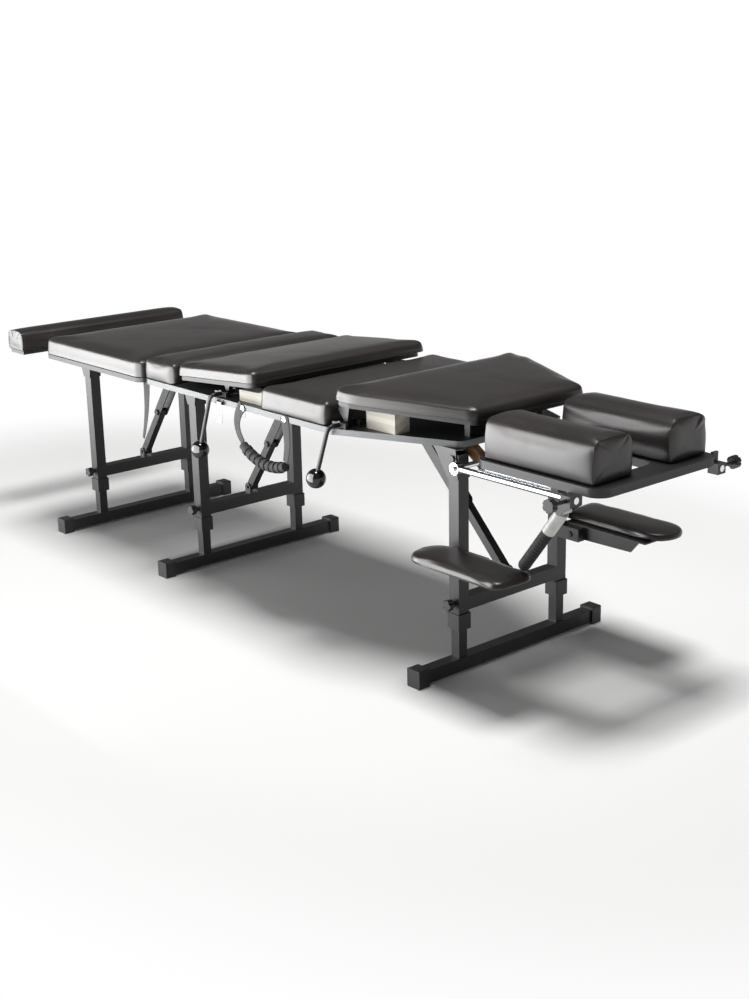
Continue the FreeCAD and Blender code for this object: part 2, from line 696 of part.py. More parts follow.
def upper_frame(x, board_bottom, lean):
    """The welded upper half of a leg: two outer tubes, the crossbar and the brace ears."""
    hinge_z = board_bottom - HINGE_DROP
    shapes = []
    for side in (-1, 1):
        y = side * LEG_HALF_SPACING
        tube = tube_z(OUTER_TUBE, OUTER_WALL, x, y, COLLAR_BOTTOM + 4, hinge_z + TUBE_ABOVE_HINGE)
        tube = tube.cut(rod_y(PIN_R + PIN_CLEARANCE, x, hinge_z, y - 30, y + 30))
        if side < 0:
            tube = tube.cut(rod_y(KNOB_SCREW_R + KNOB_HOLE_GAP, x, KNOB_Z, y - OUTER_TUBE, y))
        shapes.append(tube)
    reach = LEG_HALF_SPACING - OUTER_TUBE / 2
    shapes.append(tube_y(OUTER_TUBE, OUTER_WALL, x, CROSSBAR_Z, -reach, reach))
    return fuse(*shapes, *brace_foot_ears(x, lean))


def collar_shapes(x):
    """The plastic collars on the lower ends of the outer tubes."""
    shapes = []
    h = COLLAR_SIZE / 2
    o = OUTER_TUBE / 2
    i = INNER_TUBE / 2 + 0.3
    z0, z1 = COLLAR_BOTTOM, COLLAR_BOTTOM + COLLAR_HEIGHT
    for side in (-1, 1):
        y = side * LEG_HALF_SPACING
        body = box(x - h, x + h, y - h, y + h, z0, z1)
        body = body.makeFillet(2, edges_at(body, 0, upright=True))
        body = body.cut(box(x - o, x + o, y - o, y + o, z0 + 4, z1))
        shapes.append(body.cut(box(x - i, x + i, y - i, y + i, z0, z0 + 4)))
    return shapes


def lower_frame(x):
    """The welded lower half of a leg: two inner tubes on a base bar."""
    top = BASE_Z + BASE_TUBE / 2
    half = BASE_HALF - 2.5
    shapes = [tube_y(BASE_TUBE, OUTER_WALL, x, BASE_Z, -half, half)]
    for side in (-1, 1):
        y = side * LEG_HALF_SPACING
        shapes.append(tube_z(INNER_TUBE, INNER_WALL, x, y, top, INNER_TOP))
    return fuse(*shapes)


def cap_shapes(x):
    """The plastic end caps, which are the feet of the base bar."""
    shapes = []
    h = BASE_TUBE / 2
    for side in (-1, 1):
        y0, y1 = sorted((side * (BASE_HALF - CAP_LENGTH), side * BASE_HALF))
        w, t = CAP_WIDTH / 2, CAP_HEIGHT / 2
        body = box(x - w, x + w, y0, y1, BASE_Z - t, BASE_Z + t)
        body = body.makeFillet(3, [e for e in body.Edges if e.BoundBox.YLength > 5])
        ya, yb = sorted((side * (BASE_HALF - CAP_LENGTH - 1), side * (BASE_HALF - 2.5)))
        shapes.append(body.cut(box(x - h, x + h, ya, yb, BASE_Z - h, BASE_Z + h)))
    return shapes


def height_knob(x):
    """The lobed knob whose screw clamps the inner tube of one telescoping leg."""
    face = -LEG_HALF_SPACING - OUTER_TUBE / 2
    lobes = [rod_y(KNOB_R * 0.62, x, KNOB_Z, face - 24, face - 10)]
    for i in range(KNOB_LOBES):
        a = 2 * math.pi * i / KNOB_LOBES
        cx = x + KNOB_R * 0.6 * math.cos(a)
        cz = KNOB_Z + KNOB_R * 0.6 * math.sin(a)
        lobes.append(rod_y(KNOB_R * 0.4, cx, cz, face - 24, face - 10))
    neck = rod_y(6, x, KNOB_Z, face - 10, face - 0.3)
    tip = -LEG_HALF_SPACING - INNER_TUBE / 2 - SOFT_GAP
    screw = rod_y(KNOB_SCREW_R, x, KNOB_Z, face - 0.3, tip)
    return fuse(*lobes, neck, screw)


def make_legs():
    """The three H-shaped folding legs with their braces."""
    legs = [
        ("foot", FOOT_LEG_X, FOOT_BOARD_BOTTOM, 1, BRACE_RUN, LEG_BRACKET_WIDE, LEG_BRACKET_SHORT),
        ("middle", MIDDLE_LEG_X, DECK_BOTTOM, 1, BRACE_RUN, LEG_BRACKET_WIDE, LEG_BRACKET_SHORT),
        ("head", HEAD_LEG_X, DECK_BOTTOM, -1, HEAD_BRACE_RUN, HEAD_BRACKET_WIDE, HEAD_BRACKET_SHORT),
    ]
    for name, x, board_bottom, lean, run, back, front in legs:
        add(name + "_leg_upper", upper_frame(x, board_bottom, lean))
        add(name + "_leg_collars", *collar_shapes(x))
        add(name + "_leg_lower", lower_frame(x))
        add(name + "_leg_caps", *cap_shapes(x))
        add(name + "_leg_knob", height_knob(x))
        low, high, ears = brace_shapes(x, board_bottom, lean, run)
        add(name + "_brace_lower", low)
        add(name + "_brace_upper", high)
        brackets = "foot_board_brackets" if name == "foot" else "deck_brackets"
        add(brackets, *leg_bracket(x, board_bottom, back, front), ears)


def make_section_hinges():
    """The two strap hinges between the leg section and the main deck."""
    x = (LEG_PAD_TO + KNEE_FROM) / 2
    z = FOOT_BOARD_BOTTOM - SECTION_PIN_DROP
    half = SECTION_HINGE_HALF
    knuckle_half = SECTION_KNUCKLE_HALF
    notch = knuckle_half + SOFT_GAP
    radius = SECTION_KNUCKLE_R
    for side in (-1, 1):
        y = side * SECTION_HINGE_Y
        pin = rod_y(SECTION_PIN_R, x, z, y - half, y + half)
        outer = [rod_y(radius, x, z, y - half, y - notch), rod_y(radius, x, z, y + notch, y + half)]
        leaf = box(x, x + SECTION_LEAF, y - half, y + half, FOOT_BOARD_BOTTOM, DECK_BOTTOM)
        leaf = leaf.cut(box(x - 1, x + radius + 3, y - notch, y + notch, z - radius, DECK_BOTTOM + 1))
        add("deck_brackets", fuse(pin, leaf, *outer))
        knuckle = rod_y(radius, x, z, y - knuckle_half, y + knuckle_half)
        knuckle = knuckle.cut(bore_y(SECTION_PIN_R + PIN_CLEARANCE, x, z, y - knuckle_half, y + knuckle_half))
        strap_end = x - SECTION_PIN_R - PIN_CLEARANCE - 0.8
        strap = box(x - SECTION_LEAF, strap_end, y - knuckle_half, y + knuckle_half,
                    FOOT_BOARD_BOTTOM - SECTION_STRAP_THICK, FOOT_BOARD_BOTTOM)
        add("foot_board_brackets", fuse(knuckle, strap))


def make_bolster():
    """The ankle bolster on two rods that slide in guides under the leg section."""
    half = PAD_WIDTH / 2
    x0, x1 = BOLSTER_FROM, BOLSTER_FROM + BOLSTER_SPAN
    z0, z1 = BOLSTER_BOTTOM, BOLSTER_BOTTOM + BOLSTER_BOARD_THICK
    top = z0 + BOLSTER_THICK
    add("ankle_bolster", boxed_cushion(x0, x1, -half, half, z1 + SOFT_GAP, top, "YLength", BOLSTER_EDGE))
    inset = BOLSTER_BOARD_INSET
    shapes = [box(x0 + inset, x1 - inset, -half + inset, half - inset, z0, z1)]
    rod_z = z0 - BOLSTER_ROD_DROP
    guide_x = LEG_PAD_FROM + inset
    for side in (-1, 1):
        y = side * BOLSTER_ROD_Y
        start = V(x0 + BOLSTER_FOOT_INSET + inset, y, rod_z)
        shapes.append(rod(BOLSTER_ROD_R, start, V(LEG_PAD_FROM + BOLSTER_ROD_REACH, y, rod_z)))
        for foot in (x0 + BOLSTER_FOOT_INSET, x1 - BOLSTER_FOOT_INSET - BOLSTER_FOOT_SPAN):
            shapes.append(box(foot, foot + BOLSTER_FOOT_SPAN, y - BOLSTER_FOOT_HALF, y + BOLSTER_FOOT_HALF,
                              rod_z, z0 + 1))
        for g in (guide_x, guide_x + GUIDE_PITCH):
            guide = box(g, g + GUIDE_SPAN, y - GUIDE_HALF, y + GUIDE_HALF, rod_z - 10, FOOT_BOARD_BOTTOM)
            bore = rod(BOLSTER_ROD_R + PIN_CLEARANCE, V(g - 1, y, rod_z), V(g + GUIDE_SPAN + 1, y, rod_z))
            add("foot_board_brackets", guide.cut(bore))
    add("bolster_carriage", fuse(*shapes))


def make_head():
    """The head section: pivot axle, side rods, platform and the two face cushions."""
    axle_hole = HEAD_AXLE_R + PIN_CLEARANCE
    reach = ROD_Y + HEAD_AXLE_OUT
    back = DECK_TO - ARM_BLOCK_SPAN
    for side in (-1, 1):
        y0 = side * ARM_BLOCK_Y - ARM_BLOCK_THICK / 2
        y1 = y0 + ARM_BLOCK_THICK
        nose = ARM_BLOCK_NOSE - 1
        outline = [(back, DECK_BOTTOM), (DECK_TO - 2, DECK_BOTTOM), (HEAD_AXLE_X + 6, HEAD_AXLE_Z + nose)]
        outline += [(HEAD_AXLE_X, HEAD_AXLE_Z), (HEAD_AXLE_X - 4, HEAD_AXLE_Z - nose)]
        arm = prism_y(outline, y0, y1)
        arm = fuse(arm, rod_y(ARM_BLOCK_NOSE, HEAD_AXLE_X, HEAD_AXLE_Z, y0, y1))
        add("head_arm_blocks", arm.cut(bore_y(axle_hole, HEAD_AXLE_X, HEAD_AXLE_Z, y0, y1)))
    add("head_axle", rod_y(HEAD_AXLE_R, HEAD_AXLE_X, HEAD_AXLE_Z, -reach, reach))
    for side in (-1, 1):
        y = side * ROD_Y
        y0, y1 = y - EYE_WIDTH / 2, y + EYE_WIDTH / 2
        eye = rod_y(EYE_R, HEAD_AXLE_X, HEAD_AXLE_Z, y0, y1)
        clamp_x = NEAR_CLAMP_X if side < 0 else FAR_CLAMP_X
        bar = rod(ROD_R, V(HEAD_AXLE_X + 8, y, HEAD_AXLE_Z), V(clamp_x + CLAMP_SPAN / 2 + 1, y, HEAD_AXLE_Z))
        add("head_rods", fuse(eye, bar).cut(bore_y(axle_hole, HEAD_AXLE_X, HEAD_AXLE_Z, y0, y1)))
        add("head_rods", box(PLATFORM_START + 5, PLATFORM_START + 5 + RAIL_SPAN, side * RAIL_Y,
                             side * (RAIL_Y + RAIL_THICK), PLATFORM_BOTTOM - RAIL_HEIGHT, PLATFORM_BOTTOM))
    half = PLATFORM_WIDTH / 2
    z1 = PLATFORM_BOTTOM + PLATFORM_THICK
    plan = [(PLATFORM_START, -half), (HEAD_END, -half), (HEAD_END, half), (PLATFORM_START, half)]
    board = plate_z(plan, PLATFORM_BOTTOM, z1, PLATFORM_CORNER)
    slot_half = CUSHION_OUTER_Y - CUSHION_WIDTH - 8
    slot = box(CUSHION_FROM + 40, HEAD_END - 60, -slot_half, slot_half, PLATFORM_BOTTOM - 1, z1 + 1)
    board = board.cut(slot.makeFillet(20, edges_at(slot, 0, upright=True)))
    add("head_platform", board)
    for side in (-1, 1):
        y0, y1 = sorted((side * CUSHION_OUTER_Y, side * (CUSHION_OUTER_Y - CUSHION_WIDTH)))
        top = z1 + CUSHION_THICK
        cushion = boxed_cushion(CUSHION_FROM, CUSHION_TO, y0, y1, z1 + SOFT_GAP, top, "XLength", CUSHION_EDGE)
        add("head_cushions", cushion)
    for side, name, x in ((-1, "near", NEAR_CLAMP_X), (1, "far", FAR_CLAMP_X)):
        y = side * ROD_Y
        half_y = PROP_SLEEVE_R + PROP_EAR_GAP + PROP_EAR_THICK if side < 0 else CLAMP_SPAN / 2
        x0 = x - CLAMP_SPAN / 2
        block = box(x0, x0 + CLAMP_SPAN, y - half_y, y + half_y, HEAD_AXLE_Z - 12, PLATFORM_BOTTOM)
        if side < 0:
            block = fuse(block, *prop_ears(y, x0))
        else:
            lug = box(x0, x0 + 6, y - half_y + 8, y + half_y, HEAD_AXLE_Z, PLATFORM_BOTTOM + CLAMP_LUG)
            block = fuse(block, lug)
        bore = rod(ROD_R, V(x0 - 1, y, HEAD_AXLE_Z), V(x0 + CLAMP_SPAN + 1, y, HEAD_AXLE_Z))
        add("rod_clamps", block.cut(bore))
        add(name + "_clamp_knob", clamp_knob(x, side, half_y))


def prop_ears(y, x0):
    """The fork below the near rod clamp, with the pin that the prop hangs on."""
    inner = PROP_SLEEVE_R + PROP_EAR_GAP
    shapes = [rod_y(PIN_R, PROP_PIVOT_X, PROP_PIVOT_Z, y - inner, y + inner)]
    for side in (-1, 1):
        ya, yb = sorted((y + side * inner, y + side * (inner + PROP_EAR_THICK)))
        top = HEAD_AXLE_Z - 4
        outline = [(x0, top), (x0 + CLAMP_SPAN, top), (x0 + CLAMP_SPAN, HEAD_AXLE_Z - 12),
                   (PROP_PIVOT_X, PROP_PIVOT_Z - PROP_EYE_R), (PROP_PIVOT_X - PROP_EYE_R, PROP_PIVOT_Z)]
        shapes.append(fuse(prism_y(outline, ya, yb), rod_y(PROP_EYE_R, PROP_PIVOT_X, PROP_PIVOT_Z, ya, yb)))
    return shapes


def clamp_knob(x, side, half_y):
    """A fluted knob on a long screw at the outer side of a rod clamp."""
    y0 = side * (ROD_Y + half_y + SOFT_GAP)
    y2 = side * (ROD_Y + CLAMP_KNOB_OUT)
    y1 = y2 - side * CLAMP_KNOB_THICK
    screw = rod_y(CLAMP_SCREW_R, x, HEAD_AXLE_Z, y0, y1)
    knob = fuse(screw, rod_y(CLAMP_KNOB_R, x, HEAD_AXLE_Z, y1, y2))
    for i in range(CLAMP_KNOB_FLUTES):
        a = 2 * math.pi * i / CLAMP_KNOB_FLUTES
        reach = CLAMP_KNOB_R + 1
        knob = knob.cut(rod_y(3, x + reach * math.cos(a), HEAD_AXLE_Z + reach * math.sin(a), y1, y2))
    return knob


def make_armrests():
    """Two paddles on angle plates that pivot at brackets on the head leg, and the prop."""
    face = HEAD_LEG_X + OUTER_TUBE / 2
    for side, name, x0 in ((-1, "near", NEAR_PADDLE_START), (1, "far", FAR_PADDLE_START)):
        y_box = side * (LEG_HALF_SPACING - OUTER_TUBE / 2)
        low, high = ARM_PIVOT_Z - ARM_BOX_HEIGHT / 2, ARM_PIVOT_Z + ARM_BOX_HEIGHT / 2
        housing = box(face, face + ARM_BOX_SPAN, y_box, side * (LEG_HALF_SPACING + 6), low, high)
        bolt_out = side * (PADDLE_INNER_Y + 6)
        bolt = rod_y(PIN_R, ARM_PIVOT_X, ARM_PIVOT_Z, side * (LEG_HALF_SPACING - 20), bolt_out)
        head = hex_y(ARM_PIVOT_X, ARM_PIVOT_Z, y_box, y_box - side * BOLT_HEAD)
        nut = hex_y(ARM_PIVOT_X, ARM_PIVOT_Z, bolt_out, bolt_out + side * BOLT_HEAD)
        add("armrest_brackets", fuse(housing, bolt, head, nut))
        p0 = side * (LEG_HALF_SPACING + 6.5)
        p1 = p0 + side * ARM_PLATE_THICK
        bottom = PADDLE_TOP - PADDLE_THICK
        under = bottom - ARM_PLATE_THICK
        tip = x0 + PADDLE_SPAN
        outline = [(face + 4, under), (face + 4, ARM_PIVOT_Z - 12), (ARM_PIVOT_X + 20, ARM_PIVOT_Z - 14)]
        outline += [(tip - 70, under - ARM_PLATE_DROP), (tip - 48, under)]
        web = prism_y(outline, min(p0, p1), max(p0, p1))
        shelf = box(face + 4, tip - 30, p0, side * (PADDLE_INNER_Y + PADDLE_WIDTH - 20), under, bottom)
        hole = rod_y(PIN_R + PIN_CLEARANCE, ARM_PIVOT_X, ARM_PIVOT_Z, p0 - side * 2, p1 + side * 2)
        add(name + "_armrest_plate", fuse(web, shelf).cut(hole))
        y0, y1 = sorted((side * PADDLE_INNER_Y, side * (PADDLE_INNER_Y + PADDLE_WIDTH)))
        paddle = box(x0, x0 + PADDLE_SPAN, y0, y1, bottom + SOFT_GAP, PADDLE_TOP)
        corners = edges_at(paddle, 0, upright=True)
        round_x, small_x = (x0, x0 + PADDLE_SPAN) if side < 0 else (x0 + PADDLE_SPAN, x0)
        paddle = paddle.makeFillet(PADDLE_ROUND, [e for e in corners if abs(e.BoundBox.XMin - round_x) < 1])
        small = [e for e in edges_at(paddle, 0, upright=True) if abs(e.BoundBox.XMin - small_x) < 1]
        paddle = paddle.makeFillet(PADDLE_SQUARE, small)
        add(name + "_armrest_pad", paddle.makeFillet(7, edges_at(paddle, PADDLE_TOP)))
    make_prop()


def make_prop():
    """The prop: a foam-covered tube with a round foot on the near armrest, hung from the near rod clamp."""
    pivot = V(PROP_PIVOT_X, -ROD_Y, PROP_PIVOT_Z)
    foot = V(PROP_FOOT_X, -ROD_Y, PADDLE_TOP + SOFT_GAP + PROP_R)
    axis = (foot - pivot).normalize()
    split = pivot + axis * (PROP_SLEEVE_LENGTH + PROP_EYE_R)
    sleeve = rod(PROP_SLEEVE_R, pivot + axis * (PROP_EYE_R - 2), split)
    eye = rod_y(PROP_EYE_R, PROP_PIVOT_X, PROP_PIVOT_Z, -ROD_Y - PROP_R, -ROD_Y + PROP_R)
    sleeve = fuse(sleeve, eye)
    hole = bore_y(PIN_R + PIN_CLEARANCE, PROP_PIVOT_X, PROP_PIVOT_Z, -ROD_Y - PROP_R, -ROD_Y + PROP_R)
    add("prop_sleeve", sleeve.cut(hole))
    add("prop_tube", fuse(rod(PROP_R, split, foot), Part.makeSphere(PROP_R, foot, axis)))


def ribbon(points, widths, y0, y1):
    """A webbing strap in the XZ plane through three points, narrowing along its length."""
    left = [V(x - w / 2, y0, z) for (x, z), w in zip(points, widths)]
    right = [V(x + w / 2, y0, z) for (x, z), w in zip(points, widths)]
    edges = [Part.Arc(*left).toShape(), Part.makeLine(left[2], right[2])]
    edges += [Part.Arc(*reversed(right)).toShape(), Part.makeLine(right[0], left[0])]
    return Part.Face(Part.Wire(edges)).extrude(V(0, y1 - y0, 0))


def make_handle():
    """The carry handle: two webbing ends on the deck's edge and a curved, ribbed grip between them."""
    y1 = -PAD_WIDTH / 2
    y0 = y1 - STRAP_THICK
    y_mid = (y0 + y1) / 2
    top = DECK_BOTTOM + STRAP_LAP
    widths = [STRAP_WIDTH, STRAP_WIDTH * 0.8, STRAP_END_WIDTH]
    foot = V(HANDLE_FOOT_X + GRIP_FOOT_REACH, y_mid, GRIP_FOOT_Z)
    low = V(HANDLE_FOOT_X + GRIP_LOW_REACH, y_mid, GRIP_LOW_Z)
    head = V(HANDLE_FOOT_X + GRIP_HEAD_REACH, y_mid, GRIP_HEAD_Z)
    arc = Part.Arc(foot, low, head)
    first, last = arc.FirstParameter, arc.LastParameter
    ends = ((HANDLE_FOOT_X, HANDLE_FOOT_SWAY, foot, first), (HANDLE_HEAD_X, HANDLE_HEAD_SWAY, head, last))
    for x, sway, end, at in ends:
        tip = end.z + GRIP_R * abs(arc.tangent(at)[0].x) + SOFT_GAP
        middle = ((x + end.x) / 2 + sway, (top + tip) / 2)
        add("handle_strap", ribbon([(x, top), middle, (end.x, tip)], widths, y0, y1))

    def ring(radius, start, end):
        """A round bar that follows the grip's arc from one place to another."""
        section = Part.Face(Part.Wire(Part.makeCircle(radius, arc.value(start), arc.tangent(start)[0])))
        return section.revolve(circle.Center, circle.Axis, math.degrees(end - start))

    circle = arc.toShape().Curve
    bend_r = circle.Radius
    ribs_from = first + GRIP_PLAIN_END / bend_r
    pitch = (last - first - 2 * GRIP_PLAIN_END / bend_r) / GRIP_RIBS
    half_rib = GRIP_RIB_WIDTH / bend_r / 2
    ribs = []
    for i in range(GRIP_RIBS):
        middle = ribs_from + pitch * (i + 0.5)
        ribs.append(ring(GRIP_RIB_R, middle - half_rib, middle + half_rib))
    add("handle_grip", fuse(ring(GRIP_R, first, last), *ribs))


def make_latch():
    """The draw latch that hangs from a pin on the deck's edge."""
    face = -PAD_WIDTH / 2
    half = LATCH_WIDTH / 2
    pin_y = face - LATCH_PIN_R - 3
    pin0 = V(LATCH_X - half - 4, pin_y, LATCH_PIN_Z)
    pin1 = V(LATCH_X + half + 4, pin_y, LATCH_PIN_Z)
    base = [rod(LATCH_PIN_R, pin0, pin1)]
    for x in (pin0.x, pin1.x - 3):
        base.append(box(x, x + 3, pin_y - LATCH_PIN_R, face, LATCH_PIN_Z - 4, LATCH_PIN_Z + 4))
    base.append(box(pin0.x, pin1.x, face - 1.5, face, LATCH_PIN_Z - 4, LATCH_PIN_Z + 7))
    add("deck_brackets", fuse(*base))
    start = V(LATCH_X - half, pin_y, LATCH_PIN_Z)
    end = V(LATCH_X + half, pin_y, LATCH_PIN_Z)
    plate = box(start.x, end.x, pin_y - 1, pin_y + 1, LATCH_PIN_Z - LATCH_LENGTH, LATCH_PIN_Z)
    low = LATCH_PIN_Z - LATCH_LENGTH
    window = box(start.x + 3, end.x - 3, pin_y - 2, pin_y + 2, low + 4, LATCH_PIN_Z - 24)
    hook = box(start.x, end.x, pin_y - 5, pin_y + 1, low - 2, low)
    knuckle = rod(LATCH_PIN_R + 1.2, start, end)
    solid = fuse(knuckle, plate.cut(window), hook)
    bore = rod(LATCH_PIN_R + PIN_CLEARANCE, start - V(1, 0, 0), end + V(1, 0, 0))
    add("deck_latch", solid.cut(bore))


def make_hanging_strap():
    """The loose webbing strap with a ring that hangs from the leg section."""
    y0 = -HANG_STRAP_Y
    y1 = y0 + HANG_STRAP_THICK
    top = FOOT_BOARD_BOTTOM
    widths = [HANG_STRAP_TOP_WIDTH, (HANG_STRAP_TOP_WIDTH + HANG_STRAP_END_WIDTH) / 2, HANG_STRAP_END_WIDTH]
    middle = (HANG_STRAP_X + HANG_STRAP_SWAY * 0.1, top - HANG_STRAP_DROP * 0.46)
    end = (HANG_STRAP_X + HANG_STRAP_SWAY, top - HANG_STRAP_DROP)
    add("hanging_strap", ribbon([(HANG_STRAP_X, top), middle, end], widths, y0, y1))


def main():
    """Build every sub-part and write one file for each."""
    make_deck()
    make_foot_section()
    make_drop_sections()
    make_legs()
    make_section_hinges()
    make_bolster()
    make_head()
    make_armrests()
    make_handle()
    make_latch()
    make_hanging_strap()
    for name, solids in NODES.items():
        shape = solids[0] if len(solids) == 1 else Part.makeCompound(solids)
        shape.translate(V(-MIDDLE, 0, 0))
        shape.exportStep("parts/" + name + ".step")


main()
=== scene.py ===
import json
import math

import bmesh
import bpy
from bpy.props import FloatProperty, FloatVectorProperty, PointerProperty
from mathutils import Matrix, Vector, noise


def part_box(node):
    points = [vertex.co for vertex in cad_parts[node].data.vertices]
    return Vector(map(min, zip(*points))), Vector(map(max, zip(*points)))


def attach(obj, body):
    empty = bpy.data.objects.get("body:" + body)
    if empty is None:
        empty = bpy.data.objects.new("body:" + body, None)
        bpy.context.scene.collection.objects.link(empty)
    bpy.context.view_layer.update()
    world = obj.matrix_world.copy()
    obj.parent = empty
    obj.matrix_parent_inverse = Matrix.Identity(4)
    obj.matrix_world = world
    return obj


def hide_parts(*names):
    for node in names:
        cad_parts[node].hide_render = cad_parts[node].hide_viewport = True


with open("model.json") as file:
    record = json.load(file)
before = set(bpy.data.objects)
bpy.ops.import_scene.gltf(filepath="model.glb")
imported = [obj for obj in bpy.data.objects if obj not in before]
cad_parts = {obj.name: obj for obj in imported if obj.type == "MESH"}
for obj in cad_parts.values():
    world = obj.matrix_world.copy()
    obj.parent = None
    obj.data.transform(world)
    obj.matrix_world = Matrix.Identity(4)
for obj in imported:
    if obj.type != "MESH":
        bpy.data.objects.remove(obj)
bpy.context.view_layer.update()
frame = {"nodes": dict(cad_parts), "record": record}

bl_info = {
    "name": "Portable treatment table",
    "version": (1, 0, 0),
    "blender": (4, 5, 0),
    "location": "3D View > Sidebar > Treatment table",
    "description": "Upholstery, finishes and small hardware for a folding treatment table",
    "category": "Object",
}

MM = 0.001
# Where the drawings' origin lies in the frame, whose own origin is under the table's middle.
STATION = -0.3035


def from_drawing(x):
    """A station in mm from the drawings' origin, as a place in the frame."""
    return x * MM + STATION


def linear(code):
    """An sRGB hex colour as three linear values."""
    values = [int(code[i:i + 2], 16) / 255 for i in (1, 3, 5)]
    return tuple(v / 12.92 if v <= 0.04045 else ((v + 0.055) / 1.055) ** 2.4 for v in values)


def length_setting(name, description, default, least, most):
    """A length in mm that the user may change."""
    return FloatProperty(name=name, description=description, default=default * MM,
                         min=least * MM, max=most * MM, unit="LENGTH")


def colour_setting(name, description, code):
    """A colour that the user may change."""
    return FloatVectorProperty(name=name, description=description, subtype="COLOR", default=linear(code))


class TableSizes(bpy.types.PropertyGroup):
    """Sizes of the upholstery and the small hardware."""

    crown: length_setting("Crown", "How far a pad's middle stands above its rim", 4, 0, 20)
    side_bulge: length_setting("Side bulge", "How far a pad's side swells", 2, 0, 10)
    tuck: length_setting("Tuck", "How far the cover pulls in below a pad", 4, 0, 15)
    roll: length_setting("Edge roll", "Width of the roll over a pad's top edge", 17, 2, 40)
    ripple: length_setting("Ripple", "Height of the slow waves in the cover", 0.9, 0, 4)
    swell: length_setting("Swell", "The most that the stuffing may push a cover out", 3, 0, 10)
    screw: length_setting("Screw head", "Radius of the button-head screws", 4.5, 2, 10)


class TableColours(bpy.types.PropertyGroup):
    """Colours of the materials."""

    vinyl: colour_setting("Vinyl", "Upholstery", "#241f1d")
    steel: colour_setting("Steel", "Powder coat", "#191a1a")
    board: colour_setting("Board", "Painted plywood", "#1c1b1c")
    edge: colour_setting("Edge", "Edge banding", "#85888a")
    plastic: colour_setting("Plastic", "Caps and knobs", "#1b1a1a")
    pine: colour_setting("Pine", "Drop stops", "#f8f1e0")
    beech: colour_setting("Beech", "Axle arms", "#b98a60")
    floor: colour_setting("Floor", "Studio floor", "#fdfdfc")


def sizes():
    """The sizes that the user has set."""
    return bpy.context.scene.table_sizes


def colours():
    """The colours that the user has set."""
    return bpy.context.scene.table_colours


def add_node(tree, kind, settings=None, inputs=None):
    """Add a shader node, set its properties and fill or link its inputs."""
    node = tree.nodes.new(kind)
    for key, value in (settings or {}).items():
        setattr(node, key, value)
    for key, value in (inputs or {}).items():
        if isinstance(value, bpy.types.NodeSocket):
            tree.links.new(value, node.inputs[key])
        else:
            node.inputs[key].default_value = value
    return node


def per_metre(millimetres):
    """The texture scale at which one cell of a pattern has this size."""
    return 1 / (millimetres * MM)


def start_material(name, colour, roughness, metallic=0.0):
    """A material with one Principled shader and object coordinates."""
    material = bpy.data.materials.new(name)
    material.use_nodes = True
    tree = material.node_tree
    shader = tree.nodes["Principled BSDF"]
    shader.inputs["Base Color"].default_value = (*colour, 1)
    shader.inputs["Roughness"].default_value = roughness
    shader.inputs["Metallic"].default_value = metallic
    coordinates = add_node(tree, "ShaderNodeTexCoord").outputs["Object"]
    return material, tree, shader, coordinates


def bump(tree, shader, layers):
    """Stack patterns into the shader's normal; each layer is (height socket, strength, distance in mm)."""
    normal = None
    for height, strength, depth in layers:
        inputs = {"Height": height, "Strength": strength, "Distance": depth * MM}
        if normal is not None:
            inputs["Normal"] = normal
        normal = add_node(tree, "ShaderNodeBump", inputs=inputs).outputs["Normal"]
    tree.links.new(normal, shader.inputs["Normal"])


def spread(tree, socket, low, high):
    """Map a pattern from 0..1 to another range."""
    node = add_node(tree, "ShaderNodeMapRange", inputs={"Value": socket, "To Min": low, "To Max": high})
    return node.outputs["Result"]


# Between these values of a pattern its colour changes from dark to light.
TINT_RANGE = (0.3, 0.75)


def tint(tree, shader, pattern, colour, dark, light):
    """Vary the base colour by a pattern, between a darker and a lighter version of it."""
    ramp = add_node(tree, "ShaderNodeValToRGB", inputs={"Fac": pattern})
    for stop, place, factor in zip(ramp.color_ramp.elements, TINT_RANGE, (dark, light)):
        stop.position = place
        stop.color = (*(min(1.0, c * factor) for c in colour), 1)
    tree.links.new(ramp.outputs["Color"], shader.inputs["Base Color"])


def clouds(tree, at, millimetres, detail):
    """A cloudy pattern with patches of about this size."""
    inputs = {"Vector": at, "Scale": per_metre(millimetres), "Detail": detail}
    return add_node(tree, "ShaderNodeTexNoise", inputs=inputs).outputs["Fac"]


def rounded_cells(tree, at, millimetres):
    """A pattern of rounded cells of about this size."""
    inputs = {"Vector": at, "Scale": per_metre(millimetres)}
    return add_node(tree, "ShaderNodeTexVoronoi", inputs=inputs).outputs["Distance"]


def drawn_out(tree, at, scale):
    """Coordinates in which a pattern is drawn out along the axes that have a small scale."""
    return add_node(tree, "ShaderNodeMapping", inputs={"Vector": at, "Scale": scale}).outputs["Vector"]


def combined(tree, operation, first, second):
    """Two values joined by one operation."""
    return add_node(tree, "ShaderNodeMath", {"operation": operation}, {0: first, 1: second}).outputs[0]


def smooth_range(tree, value, source, target):
    """Map one range of a value to another with soft ends."""
    inputs = {"Value": value, "From Min": source[0], "From Max": source[1],
              "To Min": target[0], "To Max": target[1]}
    node = add_node(tree, "ShaderNodeMapRange", {"interpolation_type": "SMOOTHSTEP"}, inputs)
    return node.outputs["Result"]


